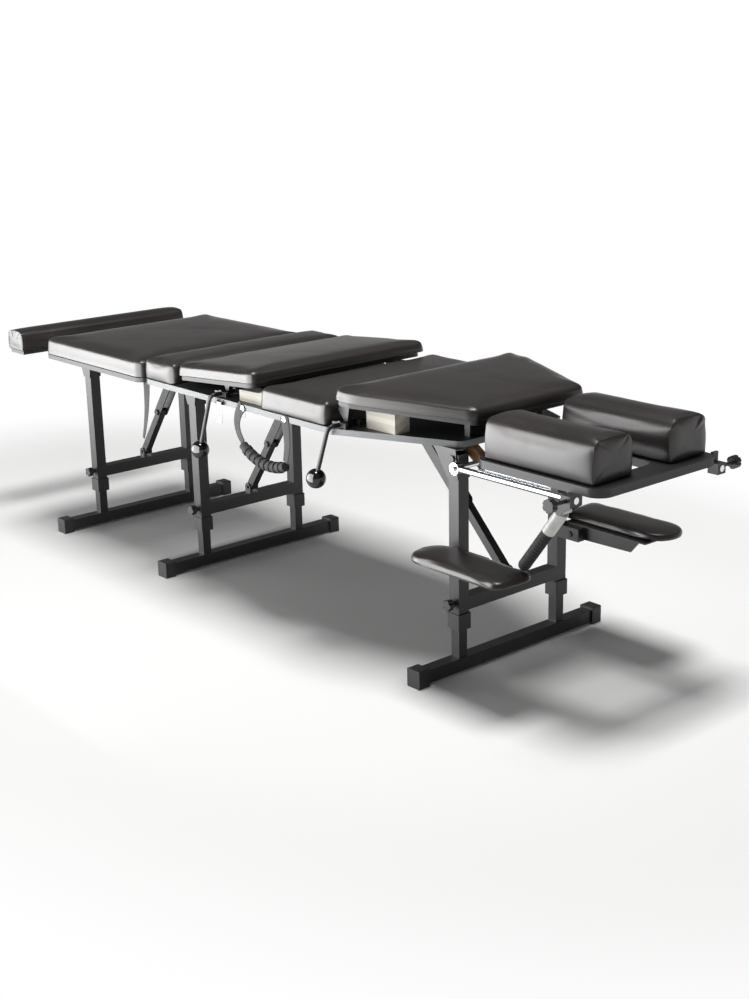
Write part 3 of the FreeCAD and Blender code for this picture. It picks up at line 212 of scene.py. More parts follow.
def upholstery_vinyl():
    """Embossed PVC leathercloth: a fine pebble grain under a satin coat, which lifts pale reflections."""
    colour = tuple(colours().vinyl)
    material, tree, shader, at = start_material("vinyl_leathercloth_embossed", colour, 0.4)
    # The real pebble is about 0.8 mm across; it is drawn at 1.5 mm so that it shows.
    pebble = rounded_cells(tree, at, 1.5)
    waves = clouds(tree, at, 60, 2.0)
    wear = clouds(tree, at, 160, 4.0)
    creases = clouds(tree, at, 11, 5.0)
    tint(tree, shader, wear, colour, 0.8, 1.3)
    tree.links.new(spread(tree, wear, 0.33, 0.46), shader.inputs["Roughness"])
    shader.inputs["Specular IOR Level"].default_value = 0.4
    shader.inputs["Coat Weight"].default_value = 0.35
    shader.inputs["Coat Roughness"].default_value = 0.3
    bump(tree, shader, [(waves, 0.3, 2.0), (creases, 0.14, 0.5), (pebble, 0.2, 0.14)])
    return material


def powder_coated_steel():
    """Mild steel tube with a baked powder coat: satin, with faint orange peel."""
    colour = tuple(colours().steel)
    material, tree, shader, at = start_material("steel_powder_coated", colour, 0.4)
    peel = clouds(tree, at, 2.2, 2.0)
    dust = clouds(tree, at, 45, 6.0)
    tint(tree, shader, dust, colour, 0.85, 1.3)
    tree.links.new(spread(tree, dust, 0.34, 0.5), shader.inputs["Roughness"])
    bump(tree, shader, [(peel, 0.18, 0.12)])
    return material


def painted_plywood():
    """Birch plywood under black paint: the grain just shows through as long shallow ridges."""
    colour = tuple(colours().board)
    material, tree, shader, at = start_material("plywood_painted", colour, 0.48)
    stretch = drawn_out(tree, at, (0.12, 1.0, 1.0))
    grain = clouds(tree, stretch, 5, 6.0)
    tint(tree, shader, grain, colour, 0.85, 1.25)
    bump(tree, shader, [(grain, 0.2, 0.25)])
    return material


def extruded_edging():
    """Extruded PVC edge banding: even, matt, with faint lines along its run."""
    colour = tuple(colours().edge)
    material, tree, shader, at = start_material("pvc_edging_extruded", colour, 0.38)
    lines = drawn_out(tree, at, (0.04, 0.04, 1.0))
    die = clouds(tree, lines, 1.5, 2.0)
    scuffs = clouds(tree, at, 60, 6.0)
    tint(tree, shader, scuffs, colour, 0.75, 1.1)
    bump(tree, shader, [(die, 0.15, 0.15)])
    return material


def moulded_plastic():
    """Injection-moulded polypropylene: a fine spark-eroded texture, satin."""
    colour = tuple(colours().plastic)
    material, tree, shader, at = start_material("polypropylene_moulded", colour, 0.46)
    erosion = clouds(tree, at, 1.2, 3.0)
    flow = clouds(tree, at, 30, 2.0)
    tint(tree, shader, flow, colour, 0.85, 1.35)
    bump(tree, shader, [(erosion, 0.25, 0.1)])
    return material


def phenolic_ball():
    """Compression-moulded phenolic: glossy black, with handling marks that only show in reflections."""
    colour = linear("#0b0b0c")
    material, tree, shader, at = start_material("phenolic_compression_moulded", colour, 0.09)
    marks = clouds(tree, at, 14, 7.0)
    tint(tree, shader, marks, colour, 1, 1.5)
    tree.links.new(spread(tree, marks, 0.05, 0.16), shader.inputs["Roughness"])
    shader.inputs["IOR"].default_value = 1.6
    return material


# Divide a pattern's scale, so that a board shows few broad rings, and so that one wave covers two yarns.
RING_SPREAD = 20
YARN_PAIR = 6.3


def sawn_wood(name, colour, grain, contrast):
    """Planed softwood or hardwood: growth rings drawn out along X, with fine pores."""
    material, tree, shader, at = start_material(name, colour, 0.6)
    stretch = drawn_out(tree, at, (0.1, 1.0, 1.0))
    inputs = {"Vector": stretch, "Scale": per_metre(grain) / RING_SPREAD, "Distortion": 3.0, "Detail": 3.0}
    waves = add_node(tree, "ShaderNodeTexWave", {"wave_type": "RINGS", "rings_direction": "X"}, inputs)
    rings = waves.outputs["Fac"]
    pores = clouds(tree, stretch, 1.0, 4.0)
    tint(tree, shader, rings, colour, 1 - contrast, 1)
    bump(tree, shader, [(rings, 0.15, 0.2), (pores, 0.25, 0.15)])
    return material


def chrome_plate():
    """Polished steel under bright chrome: near-mirror, with the faintest draw lines."""
    colour = linear("#dfe1e4")
    material, tree, shader, at = start_material("steel_chrome_plated", colour, 0.08, 1.0)
    haze = clouds(tree, at, 22, 5.0)
    tint(tree, shader, haze, colour, 0.9, 1)
    tree.links.new(spread(tree, haze, 0.05, 0.16), shader.inputs["Roughness"])
    return material


def woven_webbing():
    """Woven polyester webbing: a plain weave of flat yarns, matt with a slight sheen."""
    colour = linear("#161618")
    material, tree, shader, at = start_material("polyester_webbing_woven", colour, 0.78)
    # The real yarns are about 1 mm apart; they are drawn 1.8 mm apart so that they show.
    inputs = {"Vector": at, "Scale": per_metre(1.8) / YARN_PAIR}
    warp, weft = (add_node(tree, "ShaderNodeTexWave", {"bands_direction": axis}, inputs).outputs["Fac"]
                  for axis in ("X", "Z"))
    weave = combined(tree, "MULTIPLY", warp, weft)
    tint(tree, shader, weave, colour, 0.7, 2.2)
    shader.inputs["Sheen Weight"].default_value = 0.3
    bump(tree, shader, [(weave, 0.6, 0.5)])
    return material


def foam_rubber():
    """Extruded foam rubber sleeve: dull black, with small cells that are cut open at its surface."""
    colour = linear("#191919")
    material, tree, shader, at = start_material("foam_rubber_extruded", colour, 0.82)
    cells = rounded_cells(tree, at, 1.4)
    patches = clouds(tree, at, 25, 4.0)
    tint(tree, shader, patches, colour, 0.8, 1.5)
    bump(tree, shader, [(cells, 0.4, 0.3)])
    return material


def white_sleeve():
    """White PVC tube, extruded: satin, slightly grey with handling."""
    colour = linear("#dcdcd9")
    material, tree, shader, at = start_material("pvc_tube_extruded", colour, 0.35)
    dirt = clouds(tree, at, 18, 6.0)
    tint(tree, shader, dirt, colour, 0.72, 1)
    bump(tree, shader, [(dirt, 0.05, 0.1)])
    return material


def wood_pine():
    """Pine, sawn and planed: pale with honey-coloured rings."""
    return sawn_wood("pine_planed", tuple(colours().pine), 4.0, 0.22)


def wood_beech():
    """Beech, planed and oiled: warm tan with close, quiet grain."""
    return sawn_wood("beech_planed", tuple(colours().beech), 2.5, 0.3)


MAKERS = {
    "black_vinyl": upholstery_vinyl,
    "black_steel": powder_coated_steel,
    "black_board": painted_plywood,
    "grey_edge": extruded_edging,
    "black_plastic": moulded_plastic,
    "gloss_ball": phenolic_ball,
    "pine": wood_pine,
    "tan_wood": wood_beech,
    "chrome": chrome_plate,
    "webbing": woven_webbing,
    "foam_grip": foam_rubber,
    "white_sleeve": white_sleeve,
}
FINISHES = {}


def finish(slot):
    """The material for one of the record's slots, made once."""
    if slot not in FINISHES:
        FINISHES[slot] = MAKERS[slot]()
    return FINISHES[slot]


def piece(name, mesh, body, slot):
    """Put a finished mesh in the scene, with its material, riding on a body."""
    for face in mesh.polygons:
        face.use_smooth = True
    obj = bpy.data.objects.new(name, mesh)
    bpy.context.collection.objects.link(obj)
    mesh.materials.append(finish(slot))
    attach(obj, body)
    return obj


def rounded_path(corners, radii, steps=10):
    """A closed outline with its corners rounded, and the place in it of the middle of each corner."""
    points, middles = [], []
    count = len(corners)
    for i, (corner, radius) in enumerate(zip(corners, radii)):
        here = Vector(corner)
        before = (Vector(corners[i - 1]) - here).normalized()
        after = (Vector(corners[(i + 1) % count]) - here).normalized()
        half = before.angle(after) / 2
        reach = radius / math.tan(half)
        centre = here + (before + after).normalized() * (radius / math.sin(half))
        first = here + before * reach - centre
        last = here + after * reach - centre
        turn = first.angle_signed(last)
        middles.append(len(points) + steps // 2)
        for k in range(steps + 1):
            spoke = first.copy()
            spoke.rotate(Matrix.Rotation(-turn * k / steps, 2))
            points.append(centre + spoke)
    return points, middles


def even_steps(points, count):
    """Points at equal distances along a path."""
    lengths = [0.0]
    for a, b in zip(points, points[1:]):
        lengths.append(lengths[-1] + (b - a).length)
    result, k = [], 0
    for i in range(count + 1):
        place = lengths[-1] * i / count
        while k < len(points) - 2 and lengths[k + 1] < place:
            k += 1
        run = lengths[k + 1] - lengths[k]
        result.append(points[k].lerp(points[k + 1], (place - lengths[k]) / run if run else 0.0))
    return result


def four_sides(corners, radii, grid_corners, pitch):
    """The outline as four sides, near, head, far and foot; facing sides have equally many points."""
    points, middles = rounded_path(corners, radii)
    sides = []
    for a, b in zip(grid_corners, grid_corners[1:] + grid_corners[:1]):
        start, end = middles[a], middles[b]
        sides.append(points[start:end + 1] if end > start else points[start:] + points[:end + 1])
    counts = []
    for side in sides:
        counts.append(round(sum((b - a).length for a, b in zip(side, side[1:])) / pitch))
    along, across = max(counts[0], counts[2]), max(counts[1], counts[3])
    return [even_steps(side, n) for side, n in zip(sides, (along, across, along, across))]


def ripple(point, height, waves):
    """A repeatable wave at one point, with about this many waves in a metre."""
    return height * noise.noise(point * waves)


def bridge(mesh, lower, upper):
    """Join two closed rings of vertices with quads."""
    count = len(lower)
    for i in range(count):
        j = (i + 1) % count
        mesh.faces.new((lower[i], lower[j], upper[j], upper[i]))


def close_tube(mesh, rings):
    """Join rings of vertices into a tube and close both its ends."""
    for lower, upper in zip(rings, rings[1:]):
        bridge(mesh, lower, upper)
    mesh.faces.new(rings[0])
    mesh.faces.new(list(reversed(rings[-1])))


# A pad's side, from the board up: its first fold keeps a share of the hem's tuck, and the side starts higher.
FOLD_RISE = 1.5 * MM
FOLD_TUCK = 0.3
SIDE_START = 4 * MM
SIDE_STEPS = 4
# The side bulges along this much of half a wave: where it starts and how much of it there is.
BULGE_START = 0.15
BULGE_SPAN = 0.7
# The edge roll's height as a share of its width, the most of the pad's height that it takes, and its steps.
ROLL_RISE = 0.8
MOST_ROLL = 0.55
ROLL_STEPS = 7
# How far the hem runs in under the pad.
HEM = 30 * MM
# Waves in a metre of the cover, on the sides and on the top, where finer ones lie over them.
SIDE_WAVES = 18
TOP_WAVES = 8
FINE_WAVES = 22
FINE_SHARE = 0.4
# The higher this power, the flatter the middle of the top.
DOME = 3


def side_profile(bottom, top, roll):
    """A pad's side from its tucked hem up over the rolled edge, as (inset, height) pairs."""
    s = sizes()
    rise = min(ROLL_RISE * roll, MOST_ROLL * (top - bottom))
    shoulder = top - rise
    profile = [(-s.tuck, bottom), (-FOLD_TUCK * s.tuck, bottom + FOLD_RISE)]
    for k in range(SIDE_STEPS + 1):
        share = k / SIDE_STEPS
        height = bottom + SIDE_START + (shoulder - bottom - SIDE_START) * share
        wave = math.sin(math.pi * (BULGE_START + BULGE_SPAN * share))
        profile.append((s.side_bulge * (wave - 1), height))
    edge = profile[-1][0]
    for k in range(1, ROLL_STEPS + 1):
        turn = math.pi / 2 * k / ROLL_STEPS
        profile.append((edge - roll * (1 - math.cos(turn)), shoulder + rise * math.sin(turn)))
    return profile


def pad_mesh(name, sides, bottom, top, roll, crown, seed):
    """An upholstered pad: a tucked hem, a swelling side, a rolled edge and an even grid over its top."""
    s = sizes()
    loop = [p for side in sides for p in side[:-1]]
    count = len(loop)
    normals = []
    for i in range(count):
        way = loop[(i + 1) % count] - loop[i - 1]
        normals.append(Vector((way.y, -way.x)).normalized())
    mesh = bmesh.new()
    rings = []
    for inset, z in side_profile(bottom, top, roll):
        height = s.ripple * (z - bottom) / (top - bottom)
        ring = []
        for p, n in zip(loop, normals):
            sway = ripple(Vector((p.x, p.y, z + seed)), height, SIDE_WAVES) - height / 2
            at = p + n * (inset + sway)
            ring.append(mesh.verts.new((at.x, at.y, z)))
        rings.append(ring)
    for lower, upper in zip(rings, rings[1:]):
        bridge(mesh, lower, upper)
    hem = [mesh.verts.new((p.x - n.x * HEM, p.y - n.y * HEM, bottom)) for p, n in zip(loop, normals)]
    bridge(mesh, hem, rings[0])
    mesh.faces.new(list(reversed(hem)))
    rim = rings[-1]
    along, across = len(sides[0]) - 1, len(sides[1]) - 1
    grid = {}
    for i in range(along + 1):
        grid[i, 0] = rim[i]
        grid[i, across] = rim[(2 * along + across - i) % count]
    for j in range(across + 1):
        grid[along, j] = rim[(along + j) % count]
        grid[0, j] = rim[(2 * (along + across) - j) % count]
    flat = {key: vertex.co.copy() for key, vertex in grid.items()}
    for i in range(1, along):
        for j in range(1, across):
            u, v = i / along, j / across
            at = flat[i, 0] * (1 - v) + flat[i, across] * v + flat[0, j] * (1 - u) + flat[along, j] * u
            at -= flat[0, 0] * (1 - u) * (1 - v) + flat[along, 0] * u * (1 - v)
            at -= flat[along, across] * u * v + flat[0, across] * (1 - u) * v
            dome = (1 - abs(2 * u - 1) ** DOME) * (1 - abs(2 * v - 1) ** DOME)
            here = Vector((at.x, at.y, seed))
            wave = ripple(here, s.ripple, TOP_WAVES) + ripple(here, FINE_SHARE * s.ripple, FINE_WAVES)
            grid[i, j] = mesh.verts.new((at.x, at.y, at.z + dome * (crown + wave)))
    for i in range(along):
        for j in range(across):
            mesh.faces.new((grid[i, j], grid[i + 1, j], grid[i + 1, j + 1], grid[i, j + 1]))
    return finished(mesh, name)


def finished(mesh, name):
    """Turn a bmesh into mesh data with its faces outward."""
    bmesh.ops.recalc_face_normals(mesh, faces=mesh.faces)
    data = bpy.data.meshes.new(name)
    mesh.to_mesh(data)
    mesh.free()
    return data


# Covers that the stuffing pushes out, each with its vertices that are held to the board.
COVERS = []
# A cover is held to its board up to this height above it.
PAD_HELD = 3 * MM
BOXED_HELD = 4 * MM


def held_vertices(mesh, height):
    """The vertices of a cover that lie below a height."""
    return [v.index for v in mesh.vertices if v.co.z < height]


def soften(cover):
    """Round off a cover's facets."""
    smooth = cover.modifiers.new("soften", "SUBSURF")
    smooth.levels = smooth.render_levels = 1


def cover_piece(name, mesh, body, node, held):
    """A vinyl cover that stands for a plain pad; its lowest vertices are held to the board."""
    cover = piece(name, mesh, body, "black_vinyl")
    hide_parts(node)
    soften(cover)
    COVERS.append((cover, held))


# The size of a cover's faces.
PITCH = 13 * MM
# The far sides of covers wider than WIDE stand a little proud of the boards.
FAR_EASE = 7 * MM
WIDE = 300 * MM


def box_corners(low, high):
    """The corners of a rectangular plan, from the near foot corner round by the head end."""
    return [(low.x, low.y), (high.x, low.y), (high.x, high.y), (low.x, high.y)]


def tilt_mesh(mesh, pivot, degrees):
    """Turn a mesh about an axis along Y; a positive angle lifts the head end."""
    turn = Matrix.Rotation(-math.radians(degrees), 4, "Y")
    mesh.transform(Matrix.Translation(pivot) @ turn @ Matrix.Translation(-pivot))


def flat_pad(node, body, radii, seed, roll=None, crown=None):
    """Replace one plain pad with an upholstered one of the same size."""
    s = sizes()
    name = node + "_cover"
    low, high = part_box(node)
    if high.y - low.y > WIDE:
        high = high + Vector((0, FAR_EASE, 0))
    sides = four_sides(box_corners(low, high), radii, [0, 1, 2, 3], PITCH)
    mesh = pad_mesh(name, sides, low.z, high.z - s.swell, roll or s.roll, crown or s.crown, seed)
    cover_piece(name, mesh, body, node, held_vertices(mesh, low.z + PAD_HELD))


# The fixed pads: node, body, corner radius in plan in mm, and where their waves start.
FIXED_PADS = (
    ("knee_pad", "deck", 14, 1.0),
    ("abdominal_pad", "deck", 14, 2.0),
    ("leg_pad", "foot_section", 22, 3.0),
)


class TABLE_OT_fixed_pads(bpy.types.Operator):
    """Upholster the knee, abdominal and leg pads"""

    bl_idname = "table.fixed_pads"
    bl_label = "Fixed pads"

    def execute(self, context):
        for node, body, radius, seed in FIXED_PADS:
            flat_pad(node, body, [radius * MM] * 4, seed)
        return {"FINISHED"}


# The drop pads as they are before they tilt, in mm from the drawings' origin: the two ends, the hinge's
# station and height, the tilt in degrees, and where a taper starts.
DROP_PADS = (
    ("pelvic", 92, 413, 102, 534, 4.5, None),
    ("thoracic", 702, 1044, 962, 561, -2.2, 770),
)
# Heights of the board's and the pad's top above the hinge, in mm.
DROP_BOARD = 16.3
DROP_TOP = 48
# Corner radii in plan, and half the width of the narrow end, in mm.
DROP_CORNER = 20
TAPER_START_CORNER = 90
TAPER_END_CORNER = 24
TAPER_END = 170
# Their edge roll, as a share of the other pads'.
DROP_ROLL = 0.85


class TABLE_OT_drop_pads(bpy.types.Operator):
    """Upholster the pelvic and thoracic drop pads"""

    bl_idname = "table.drop_pads"
    bl_label = "Drop pads"

    def execute(self, context):
        s = sizes()
        near = -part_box("knee_pad")[1].y / MM
        far = FAR_EASE / MM - near
        for name, x0, x1, hinge_x, hinge_z, tilt, taper in DROP_PADS:
            if taper:
                plan = [(x0, near), (taper, near), (x1, -TAPER_END), (x1, TAPER_END), (taper, far), (x0, far)]
                half = [DROP_CORNER, TAPER_START_CORNER, TAPER_END_CORNER]
                radii = half + half[::-1]
                grid_corners = [0, 2, 3, 5]
            else:
                plan = [(x0, near), (x1, near), (x1, far), (x0, far)]
                radii = [DROP_CORNER] * 4
                grid_corners = [0, 1, 2, 3]
            corners = [(from_drawing(x), y * MM) for x, y in plan]
            sides = four_sides(corners, [r * MM for r in radii], grid_corners, PITCH)
            bottom, top = (hinge_z + DROP_BOARD) * MM, (hinge_z + DROP_TOP) * MM
            cover = name + "_cover"
            mesh = pad_mesh(cover, sides, bottom, top - s.swell, s.roll * DROP_ROLL, s.crown, len(name))
            held = held_vertices(mesh, bottom + PAD_HELD)
            tilt_mesh(mesh, Vector((from_drawing(hinge_x), 0, hinge_z * MM)), tilt)
            cover_piece(cover, mesh, name + "_drop", name + "_pad", held)
        return {"FINISHED"}


# A boxed cushion's section: the hem's distance in from the side, the point where it turns up (in from the
# side and up from the board), and the foot of the side above the board.
BOX_HEM = 5 * MM
BOX_TURN = (1.5 * MM, 2 * MM)
BOX_SIDE = 5 * MM
BOX_SIDE_STEPS = 6
BOX_ROLL_STEPS = 8
# The fewest faces across its top and along its length.
FEWEST_RUNS = 6
FEWEST_STEPS = 8
# Its crown and its waves as shares of the pads', how many waves there are in a metre, and the height above
# the board from which they show.
BOX_CROWN = 0.6
BOX_RIPPLE = 0.5
BOX_WAVES = 14
BOX_STILL = 6 * MM
# A sewn end, in mm: how far each ring lies from the end and how much it shrinks. The welt, the third ring,
# stands 0.8 mm proud of the groove on each side of it.
SEWN_END = ((0.6, 3.2), (1.6, 0.9), (2.8, 0.1), (4.2, 0.9), (6, 0.4))
# The rings of an end panel, as shares of its outline.
PANEL_RINGS = (0.9, 0.75, 0.55, 0.3)


def boxed_section(half, bottom, top, roll):
    """The closed section of a boxed cushion, as (distance from the middle, height) pairs."""
    s = sizes()
    shoulder = top - roll
    left = [(-half + BOX_HEM, bottom), (-half + BOX_TURN[0], bottom + BOX_TURN[1])]
    for k in range(BOX_SIDE_STEPS + 1):
        share = k / BOX_SIDE_STEPS
        out = s.side_bulge * (math.sin(math.pi * share) - 1)
        left.append((-half - out, bottom + BOX_SIDE + (shoulder - bottom - BOX_SIDE) * share))
    side = left[-1][0]
    for k in range(1, BOX_ROLL_STEPS):
        turn = math.pi / 2 * k / BOX_ROLL_STEPS
        left.append((side + roll * (1 - math.cos(turn)), shoulder + roll * math.sin(turn)))
    flat = -(side + roll)
    runs = max(FEWEST_RUNS, round(2 * flat / PITCH))
    crest, base = [], []
    for k in range(runs + 1):
        rise = BOX_CROWN * s.crown * math.sin(math.pi * k / runs)
        crest.append((-flat + 2 * flat * k / runs, top + rise))
    for k in range(1, runs):
        base.append((half - BOX_HEM - (2 * half - 2 * BOX_HEM) * k / runs, bottom))
    return left + crest + [(-u, z) for u, z in reversed(left)] + base


def boxed_mesh(name, low, high, along, roll, seed):
    """A boxed cushion: one cover rolled over its length and a flat panel sewn on at each end with a welt."""
    s = sizes()
    across = 1 - along
    half = (high[across] - low[across]) / 2
    middle = (high[across] + low[across]) / 2
    section = boxed_section(half, low.z, high.z - s.swell, roll)
    centre_z = (low.z + high.z) / 2
    length = high[along] - low[along]
    ends = [(place * MM, shrink) for place, shrink in SEWN_END]
    inner = ends[-1][0]
    steps = max(FEWEST_STEPS, round(length / PITCH))
    stations = ends + [(inner + (length - 2 * inner) * k / steps, 0.0) for k in range(1, steps)]
    stations += [(length - place, shrink) for place, shrink in reversed(ends)]
    mesh = bmesh.new()
    rings = []
    for place, shrink in stations:
        ring = []
        for u, z in section:
            spoke = Vector((u, z - centre_z))
            spoke -= spoke.normalized() * shrink * MM
            at = [0.0, 0.0, spoke.y + centre_z]
            at[along] = low[along] + place
            at[across] = middle + spoke.x
            if z > low.z + BOX_STILL:
                lift = ripple(Vector((at[0], at[1], at[2] + seed)), BOX_RIPPLE * s.ripple, BOX_WAVES)
                at[2] += lift
                at[across] += lift
            ring.append(mesh.verts.new(at))
        rings.append(ring)
    for lower, upper in zip(rings, rings[1:]):
        bridge(mesh, lower, upper)
    for ring in (rings[0], rings[-1]):
        previous = ring
        for share in PANEL_RINGS:
            smaller = []
            for vertex in ring:
                centre = Vector(vertex.co)
                centre[across] = middle
                centre[2] = centre_z
                smaller.append(mesh.verts.new(centre.lerp(vertex.co, share)))
            bridge(mesh, previous, smaller)
            previous = smaller
        mesh.faces.new(previous)
    return finished(mesh, name)


# Half the opening between the face cushions, and the edge rolls of the face cushions and the bolster.
FACE_GAP = 56 * MM
FACE_ROLL = 22 * MM
BOLSTER_ROLL = 14 * MM
BOLSTER_SEED = 5.0


class TABLE_OT_boxed_cushions(bpy.types.Operator):
    """Upholster the two face cushions and the ankle bolster, which have sewn end panels"""

    bl_idname = "table.boxed_cushions"
    bl_label = "Boxed cushions"

    def execute(self, context):
        low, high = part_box("head_cushions")
        jobs = []
        for name, y0, y1 in (("near_face_cushion", low.y, -FACE_GAP), ("far_face_cushion", FACE_GAP, high.y)):
            box = Vector((low.x, y0, low.z)), Vector((high.x, y1, high.z))
            jobs.append((name, box, 0, FACE_ROLL, y1 * 10, "head_section", "head_cushions"))
        low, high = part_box("ankle_bolster")
        box = low, high + Vector((0, FAR_EASE, 0))
        jobs.append(("bolster_cover", box, 1, BOLSTER_ROLL, BOLSTER_SEED, "bolster", "ankle_bolster"))
        for name, (start, end), along, roll, seed, body, node in jobs:
            mesh = boxed_mesh(name, start, end, along, roll, seed)
            cover_piece(name, mesh, body, node, held_vertices(mesh, start.z + BOXED_HELD))
        return {"FINISHED"}


# The armrests' corner radii in plan, at the round end and the square end, their edge roll and their crown.
REST_ROUND = 54 * MM
REST_SQUARE = 24 * MM
REST_ROLL = 10 * MM
REST_CROWN = 1.5 * MM
REST_SEED = 7.0


class TABLE_OT_armrest_pads(bpy.types.Operator):
    """Upholster the two armrest paddles"""

    bl_idname = "table.armrest_pads"
    bl_label = "Armrest pads"

    def execute(self, context):
        big, small = REST_ROUND, REST_SQUARE
        for side, radii in (("near", [big, small, small, big]), ("far", [small, big, big, small])):
            flat_pad(side + "_armrest_pad", side + "_armrest", radii, REST_SEED, REST_ROLL, REST_CROWN)
        return {"FINISHED"}


# How vinyl over foam behaves: stiff against stretching, limp against bending, and pushed out from inside.
HELD_GROUP = "held"
CLOTH = {
    "quality": 4,
    "mass": 0.2,
    "tension_stiffness": 18,
    "compression_stiffness": 12,
    "bending_stiffness": 0.8,
    "use_pressure": True,
    "uniform_pressure_force": 4,
    "vertex_group_mass": HELD_GROUP,
}
SWELL_FRAMES = 14
# A vertex that moved less than this, in metres, is left alone.
LEAST_MOVE = 1e-6


class TABLE_OT_swell_covers(bpy.types.Operator):
    """Let the stuffing push the covers out, with a short cloth simulation"""

    bl_idname = "table.swell_covers"
    bl_label = "Swell the covers"

    def execute(self, context):
        cap = sizes().swell
        for cover, held in COVERS:
            cover.modifiers.clear()
            cover.vertex_groups.new(name=HELD_GROUP).add(held, 1.0, "REPLACE")
            cloth = cover.modifiers.new("swell", "CLOTH")
            for key, value in CLOTH.items():
                setattr(cloth.settings, key, value)
            cloth.settings.effector_weights.gravity = 0
        for step in range(1, SWELL_FRAMES + 1):
            context.scene.frame_set(step)
        graph = context.evaluated_depsgraph_get()
        shapes = []
        for cover, _ in COVERS:
            shapes.append([v.co.copy() for v in cover.evaluated_get(graph).data.vertices])
        for (cover, _), shape in zip(COVERS, shapes):
            for vertex, end in zip(cover.data.vertices, shape):
                move = end - vertex.co
                if move.length > LEAST_MOVE:
                    vertex.co += move.normalized() * cap * math.tanh(move.length / cap)
            cover.modifiers.clear()
            cover.vertex_groups.clear()
            soften(cover)
        context.scene.frame_set(1)
        return {"FINISHED"}


# Half the section of a strap, in half widths and half thicknesses, with rounded selvedges; the other half is
# the same, turned about.
HALF_STRAP = ((-1, -0.4), (-0.85, -1), (-0.4, -1), (0, -1), (0.4, -1), (0.85, -1), (1, -0.4))
STRAP_SECTION = HALF_STRAP + tuple((-u, -v) for u, v in HALF_STRAP)
STRAP_STEPS = 28
# How far a strap wanders off its line, and how many such waves there are in a metre.
STRAP_WANDER = 1.2 * MM
STRAP_WAVES = 30


def ribbon_mesh(name, points, widths, thick, seed):
    """A flat webbing strap along a smooth line through three points, with a slight wander."""
    ends = [Vector(p) for p in points]
    mesh = bmesh.new()
    rings = []
    for k in range(STRAP_STEPS + 1):
        t = k / STRAP_STEPS
        a, b, c = (1 - t) * (1 - 2 * t), 4 * t * (1 - t), t * (2 * t - 1)
        at = ends[0] * a + ends[1] * b + ends[2] * c
        way = ends[0] * (4 * t - 3) + ends[1] * (4 - 8 * t) + ends[2] * (4 * t - 1)
        side = Vector((way.z, 0, -way.x)).normalized()
        width = widths[0] * a + widths[1] * b + widths[2] * c
        wander = ripple(Vector((at.x, seed, at.z)), STRAP_WANDER, STRAP_WAVES) * math.sin(math.pi * t)
        ring = []
        for u, v in STRAP_SECTION:
            place = at + side * (u * (width / 2 - thick / 2))
            place.y += v * thick / 2 + wander
            ring.append(mesh.verts.new(place))
        rings.append(ring)
    close_tube(mesh, rings)
    return finished(mesh, name)


# A stitch is a spindle of thread: places along it in half lengths, and its thickness there.
STITCH_PITCH = 2.6 * MM
STITCH_RADIUS = 0.45 * MM
STITCH_HALF = 0.38
STITCH_SHAPE = ((-1.0, 0.25), (-0.7, 0.8), (0.0, 1.0), (0.7, 0.8), (1.0, 0.25))
STITCH_FACETS = 6


def stitch_mesh(name, runs, y):
    """Lock stitches as short raised loops of thread along straight runs on a strap's face."""
    mesh = bmesh.new()
    for start, end in runs:
        a, b = Vector(start), Vector(end)
        count = max(1, int((b - a).length / STITCH_PITCH))
        way = (b - a).normalized()
        cross = Vector((-way.y, way.x))
        for k in range(count):
            middle = a + way * STITCH_PITCH * (k + 0.5)
            rings = []
            for along, size in STITCH_SHAPE:
                at = middle + way * along * STITCH_PITCH * STITCH_HALF
                radius = STITCH_RADIUS * size
                ring = []
                for facet in range(STITCH_FACETS):
                    angle = 2 * math.pi * facet / STITCH_FACETS
                    off = cross * radius * math.cos(angle)
                    ring.append(mesh.verts.new((at.x + off.x, y + radius * math.sin(angle), at.y + off.y)))
                rings.append(ring)
            close_tube(mesh, rings)
    return finished(mesh, name)


def lathe_mesh(name, start, direction, profile, facets=20):
    """A turned shape about an axis, from a profile of (distance, radius) pairs."""
    mesh = bmesh.new()
    axis = Vector(direction).normalized()
    first = axis.orthogonal().normalized()
    second = axis.cross(first)
    rings = []
    for distance, radius in profile:
        ring = []
        for k in range(facets):
            angle = 2 * math.pi * k / facets
            spoke = first * math.cos(angle) + second * math.sin(angle)
            ring.append(mesh.verts.new(Vector(start) + axis * distance + spoke * radius))
        rings.append(ring)
    close_tube(mesh, rings)
    return finished(mesh, name)


# The washer under a screw: its thickness and its chamfer.
WASHER = 1 * MM
WASHER_CHAMFER = 0.2 * MM


def screw_profile():
    """A washer and a button head with a round socket, from the surface outward."""
    r = sizes().screw
    washer = [(0, 1.6 * r), (WASHER - WASHER_CHAMFER, 1.6 * r), (WASHER, 1.5 * r), (WASHER, 1.05 * r)]
    head = [(0.6 * MM, 1.02), (0.45 * r, 0.85), (0.6 * r, 0.5), (0.6 * r, 0.4), (0.25 * r, 0.36)]
    return washer + [(WASHER + height, share * r) for height, share in head]


# The carry handle's two webbing ends, in mm from the drawings' origin: the stations of top and tip, how far
# the middle sways, the tip's height, and the flat width and length.
HANDLE_ENDS = (
    ("foot_handle_webbing", 374.0, 370.0, -24.0, 429.6, (32 * MM, 104 * MM)),
    ("head_handle_webbing", 533.0, 532.0, 9.0, 412.6, (32 * MM, 109 * MM)),
)
# Widths at the top, in the middle and at the tip, and the webbing's thickness.
HANDLE_WIDTHS = (32 * MM, 25.6 * MM, 20 * MM)
HANDLE_THICK = 2 * MM
# The box of stitches round each screw: its half width, and its upper and lower rows below the strap's top.
STITCH_BOX = 11 * MM
STITCH_ROWS = (3.5 * MM, 27 * MM)
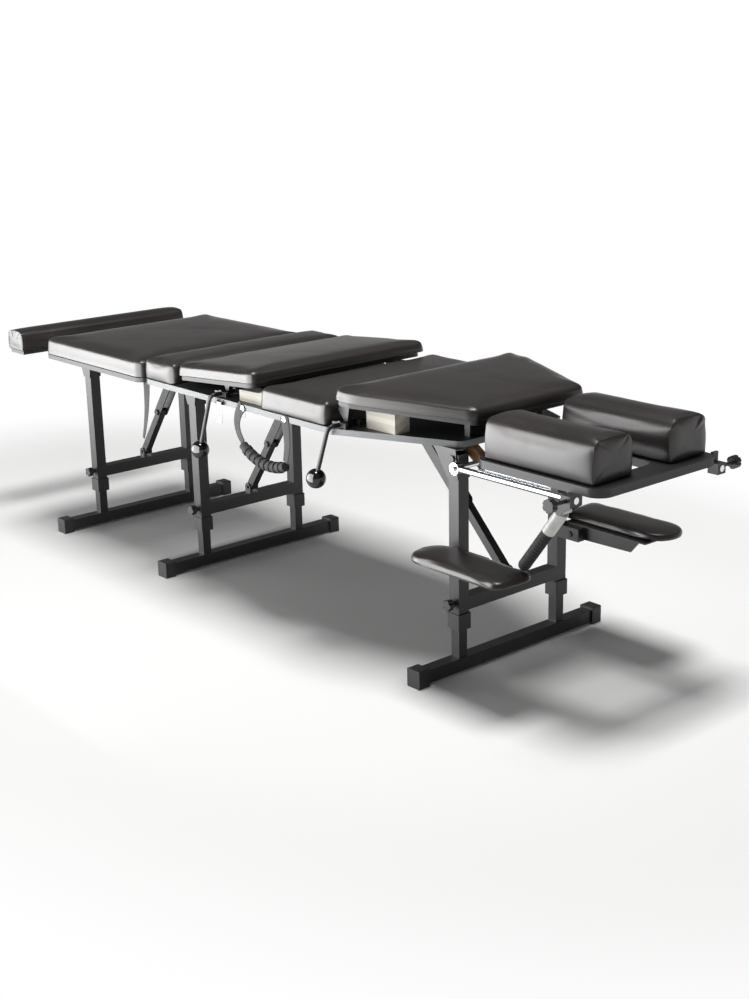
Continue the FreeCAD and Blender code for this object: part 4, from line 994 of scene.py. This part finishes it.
# A screw's place below the strap's top, and how deep its washer presses into the webbing.
SCREW_DROP = 7 * MM
SCREW_SINK = 0.2 * MM
# The hanging strap: where it starts, where its middle lies from there, and how far its tip lies to the foot.
HANGING_X = -481 * MM
HANGING_MIDDLE = (-3 * MM, -84 * MM)
HANGING_TIP = -30 * MM
HANGING_WIDTHS = (36 * MM, 24 * MM, 12 * MM)
HANGING_THICK = 1.5 * MM
HANGING_SEED = 3.0


class TABLE_OT_straps(bpy.types.Operator):
    """Make the carry handle's webbing and the hanging strap, with their stitches and screws"""

    bl_idname = "table.straps"
    bl_label = "Straps"

    def execute(self, context):
        low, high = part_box("handle_strap")
        y = (low.y + high.y) / 2
        face, top = low.y, high.z
        straps = []
        for name, x0, x1, sway, tip, flat in HANDLE_ENDS:
            middle = ((x0 + x1) / 2 + sway, (top / MM + tip) / 2)
            points = [(from_drawing(x), y, z * MM) for x, z in ((x0, top / MM), middle, (x1, tip))]
            mesh = ribbon_mesh(name, points, HANDLE_WIDTHS, HANDLE_THICK, x0)
            strap = piece(name, mesh, "deck", "webbing")
            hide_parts("handle_strap")
            straps.append((name, strap, points[0][0], flat))
        upper, lower = (top - row for row in STITCH_ROWS)
        for name, strap, x, flat in straps:
            runs = [((x - STITCH_BOX, z), (x + STITCH_BOX, z)) for z in (upper, lower)]
            runs += [((x + side, lower), (x + side, upper)) for side in (-STITCH_BOX, STITCH_BOX)]
            mesh = stitch_mesh(name + "_stitches", runs, face)
            stitches = piece(name + "_stitches", mesh, "deck", "webbing")
            place = (x, face - SCREW_SINK, top - SCREW_DROP)
            mesh = lathe_mesh(name + "_screw", place, (0, -1, 0), screw_profile())
            screw = piece(name + "_screw", mesh, "deck", "chrome")
        low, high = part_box("hanging_strap")
        y = (low.y + high.y) / 2
        points = [(HANGING_X, y, high.z), (HANGING_X + HANGING_MIDDLE[0], y, high.z + HANGING_MIDDLE[1]),
                  (HANGING_X + HANGING_TIP, y, low.z)]
        mesh = ribbon_mesh("hanging_webbing", points, HANGING_WIDTHS, HANGING_THICK, HANGING_SEED)
        strap = piece("hanging_webbing", mesh, "foot_section", "webbing")
        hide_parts("hanging_strap")
        return {"FINISHED"}


# The prop's axis, from its pivot to its foot, in mm from the drawings' origin.
PROP_PIVOT = (1311, -192, 452)
PROP_FOOT = (1207, -192, 313.3)
# The foam sleeve: where it starts below the pivot, its radius and its rounded mouth, all in mm.
FOAM_START = 67
FOAM_RADIUS = 13
FOAM_MOUTH = ((0.2, 11.5), (0.8, 12.8), (1.6, 13))
FOAM_FACETS = 28
# Its rings, in mm: how far apart the grooves are, the shape of one, and the room left at the foot.
RING_PITCH = 9
RING_GROOVE = ((-1.2, 0.0), (-0.5, 0.7), (0.5, 0.7), (1.2, 0.0))
RING_END = 6
# Its rounded foot: the steps of the curve, and the small flat at the tip as (distance, radius) in mm.
FOOT_STEPS = 8
FOOT_TIP = (12.9, 1.2)


class TABLE_OT_prop_foam(bpy.types.Operator):
    """Make the prop's foam sleeve with its moulded rings and rounded foot"""

    bl_idname = "table.prop_foam"
    bl_label = "Prop foam"

    def execute(self, context):
        pivot, foot = (Vector((from_drawing(x), y * MM, z * MM)) for x, y, z in (PROP_PIVOT, PROP_FOOT))
        axis = (foot - pivot).normalized()
        start = pivot + axis * FOAM_START * MM
        length = (foot - start).length
        profile = [(place * MM, radius * MM) for place, radius in FOAM_MOUTH]
        place = RING_PITCH * MM
        while place < length - RING_END * MM:
            for off, depth in RING_GROOVE:
                profile.append((place + off * MM, (FOAM_RADIUS - depth) * MM))
            place += RING_PITCH * MM
        for k in range(FOOT_STEPS):
            turn = math.pi / 2 * k / FOOT_STEPS
            profile.append((length + FOAM_RADIUS * MM * math.sin(turn), FOAM_RADIUS * MM * math.cos(turn)))
        profile.append((length + FOOT_TIP[0] * MM, FOOT_TIP[1] * MM))
        mesh = lathe_mesh("prop_foam", start, axis, profile, FOAM_FACETS)
        foam = piece("prop_foam", mesh, "prop", "foam_grip")
        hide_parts("prop_tube")
        return {"FINISHED"}


class TABLE_OT_finishes(bpy.types.Operator):
    """Give every rigid part its finish"""

    bl_idname = "table.finishes"
    bl_label = "Finishes"

    def execute(self, context):
        for entry in frame["record"]["subparts"]:
            node = frame["nodes"][entry["node"]]
            if node.hide_render:
                continue
            node.data.materials.clear()
            node.data.materials.append(finish(entry["material_slot"]))
        return {"FINISHED"}


# The camera stands where the photograph was taken from, worked out from landmarks on the table. Its angles
# are in degrees and its focal length is in pixels of the photograph.
CAMERA_PLACE = (3.1685 + STATION, -2.2593, 1.3072)
CAMERA_AZIMUTH = 49.53
CAMERA_ELEVATION = 16.70
CAMERA_ROLL = -1.20
FOCAL_PIXELS = 1489.4
PHOTO_HEIGHT = 999
SENSOR = 36.0


def camera_matrix():
    """The camera's place and its right, up and back directions."""
    a, e, r = (math.radians(v) for v in (CAMERA_AZIMUTH, CAMERA_ELEVATION, CAMERA_ROLL))
    back = Vector((math.sin(a) * math.cos(e), -math.cos(a) * math.cos(e), math.sin(e)))
    level = Vector((math.cos(a), math.sin(a), 0))
    rise = back.cross(level)
    right = level * math.cos(r) + rise * math.sin(r)
    up = rise * math.cos(r) - level * math.sin(r)
    matrix = Matrix((right, up, back)).transposed().to_4x4()
    matrix.translation = Vector(CAMERA_PLACE)
    return matrix


def lamp(name, place, target, size, watts, matt):
    """A soft rectangular lamp that points at a place."""
    light = bpy.data.lights.new(name, "AREA")
    light.shape = "RECTANGLE"
    light.size, light.size_y = size
    light.energy = watts
    obj = bpy.data.objects.new(name, light)
    bpy.context.collection.objects.link(obj)
    obj.location = place
    obj.rotation_euler = (Vector(target) - Vector(place)).to_track_quat("-Z", "Y").to_euler()
    obj.visible_camera = False
    obj.visible_diffuse = matt


# The paper shows shadows out to the first distance and is plain white from the second, in metres from the
# table's middle, after the plan is squeezed to fit the table's length.
FLOOR_SQUEEZE = (0.5, 0.75, 1.0)
FLOOR_FADE = (0.75, 1.15)


def floor_material():
    """White sweep paper: it takes the shadow near the table and fades to plain white away from it."""
    material, tree, shader, at = start_material("sweep_paper_matt", colours().floor, 0.9)
    shader.inputs["Specular IOR Level"].default_value = 0.1
    plan = drawn_out(tree, at, FLOOR_SQUEEZE)
    away = add_node(tree, "ShaderNodeVectorMath", {"operation": "LENGTH"}, {0: plan}).outputs["Value"]
    fade = smooth_range(tree, away, FLOOR_FADE, (0.0, 1.0))
    path = add_node(tree, "ShaderNodeLightPath").outputs
    seen = combined(tree, "MAXIMUM", path["Is Camera Ray"], path["Is Glossy Ray"])
    seen = combined(tree, "MAXIMUM", seen, path["Is Transmission Ray"])
    share = combined(tree, "MULTIPLY", fade, seen)
    white = add_node(tree, "ShaderNodeEmission", inputs={"Color": (1, 1, 1, 1), "Strength": 1.0}).outputs[0]
    mixed = add_node(tree, "ShaderNodeMixShader", inputs={0: share, 1: shader.outputs[0], 2: white})
    tree.links.new(mixed.outputs[0], tree.nodes["Material Output"].inputs["Surface"])
    return material


# How strongly the studio lights the table. A glossy surface sees the white backdrop up to the first height of
# its reflection and the dim studio above the second.
STUDIO = 0.16
BACKDROP_EDGE = (0.03, 0.16)


def studio_world():
    """A dim studio with a white backdrop, which the camera and clear or glossy surfaces see."""
    world = bpy.data.worlds.new("studio")
    world.use_nodes = True
    tree = world.node_tree
    background = tree.nodes["Background"]
    background.inputs["Color"].default_value = (1, 1, 1, 1)
    path = add_node(tree, "ShaderNodeLightPath").outputs
    seen = combined(tree, "MAXIMUM", path["Is Camera Ray"], path["Is Transmission Ray"])
    direction = add_node(tree, "ShaderNodeTexCoord").outputs["Generated"]
    height = add_node(tree, "ShaderNodeSeparateXYZ", inputs={0: direction}).outputs["Z"]
    low_down = smooth_range(tree, height, BACKDROP_EDGE, (1.0, 0.0))
    mirrored = combined(tree, "MULTIPLY", path["Is Glossy Ray"], low_down)
    strength = spread(tree, combined(tree, "MAXIMUM", seen, mirrored), STUDIO, 1.0)
    tree.links.new(strength, background.inputs["Strength"])
    return world


FLOOR_REACH = 14.0
# Name, place, target, size and power of each soft lamp, and whether it lights matt surfaces. The first is
# overhead, the second low on the lever side, and the third a long strip that only shows in glossy surfaces.
LAMPS = (
    ("overhead", (0.55, 0.0, 4.2), (0.1, 0.0, 0.4), (1.7, 1.1), 150, True),
    ("lever_side", (-2.3, -2.5, 0.8), (0.1, 0.0, 0.5), (2.4, 1.4), 32, True),
    ("strip", (-1.0, -0.95, 0.62), (-1.0, 0.0, 0.62), (3.0, 1.2), 100, False),
)


class TABLE_OT_stage(bpy.types.Operator):
    """Set up the floor, the lamps, the world and the camera"""

    bl_idname = "table.stage"
    bl_label = "Stage"

    def execute(self, context):
        scene = context.scene
        mesh = bpy.data.meshes.new("floor")
        low, high = Vector((-FLOOR_REACH, -FLOOR_REACH)), Vector((FLOOR_REACH, FLOOR_REACH))
        mesh.from_pydata([(x, y, 0) for x, y in box_corners(low, high)], [], [(0, 1, 2, 3)])
        floor = bpy.data.objects.new("floor", mesh)
        mesh.materials.append(floor_material())
        context.collection.objects.link(floor)
        scene.world = studio_world()
        for job in LAMPS:
            lamp(*job)
        camera = bpy.data.cameras.new("camera")
        camera.sensor_width = SENSOR
        camera.lens = FOCAL_PIXELS / PHOTO_HEIGHT * SENSOR
        view = bpy.data.objects.new("camera", camera)
        context.collection.objects.link(view)
        view.matrix_world = camera_matrix()
        scene.camera = view
        scene.view_settings.view_transform = "Standard"
        return {"FINISHED"}


class TABLE_PT_panel(bpy.types.Panel):
    """Buttons for every group of pieces"""

    bl_label = "Treatment table"
    bl_space_type = "VIEW_3D"
    bl_region_type = "UI"
    bl_category = "Treatment table"

    def draw(self, context):
        for operator in OPERATORS:
            self.layout.operator(operator.bl_idname)


OPERATORS = (
    TABLE_OT_stage,
    TABLE_OT_fixed_pads,
    TABLE_OT_drop_pads,
    TABLE_OT_boxed_cushions,
    TABLE_OT_armrest_pads,
    TABLE_OT_swell_covers,
    TABLE_OT_straps,
    TABLE_OT_prop_foam,
    TABLE_OT_finishes,
)
CLASSES = (TableSizes, TableColours, *OPERATORS, TABLE_PT_panel)


def register():
    """Add the classes and the settings to Blender."""
    for entry in CLASSES:
        bpy.utils.register_class(entry)
    bpy.types.Scene.table_sizes = PointerProperty(type=TableSizes)
    bpy.types.Scene.table_colours = PointerProperty(type=TableColours)


def unregister():
    """Take the classes and the settings out of Blender."""
    del bpy.types.Scene.table_colours
    del bpy.types.Scene.table_sizes
    for entry in reversed(CLASSES):
        bpy.utils.unregister_class(entry)


def main():
    """Build the whole visual model."""
    register()
    bpy.ops.table.stage()
    bpy.ops.table.fixed_pads()
    bpy.ops.table.drop_pads()
    bpy.ops.table.boxed_cushions()
    bpy.ops.table.armrest_pads()
    bpy.ops.table.swell_covers()
    bpy.ops.table.straps()
    bpy.ops.table.prop_foam()
    bpy.ops.table.finishes()


if __name__ == "__main__":
    main()
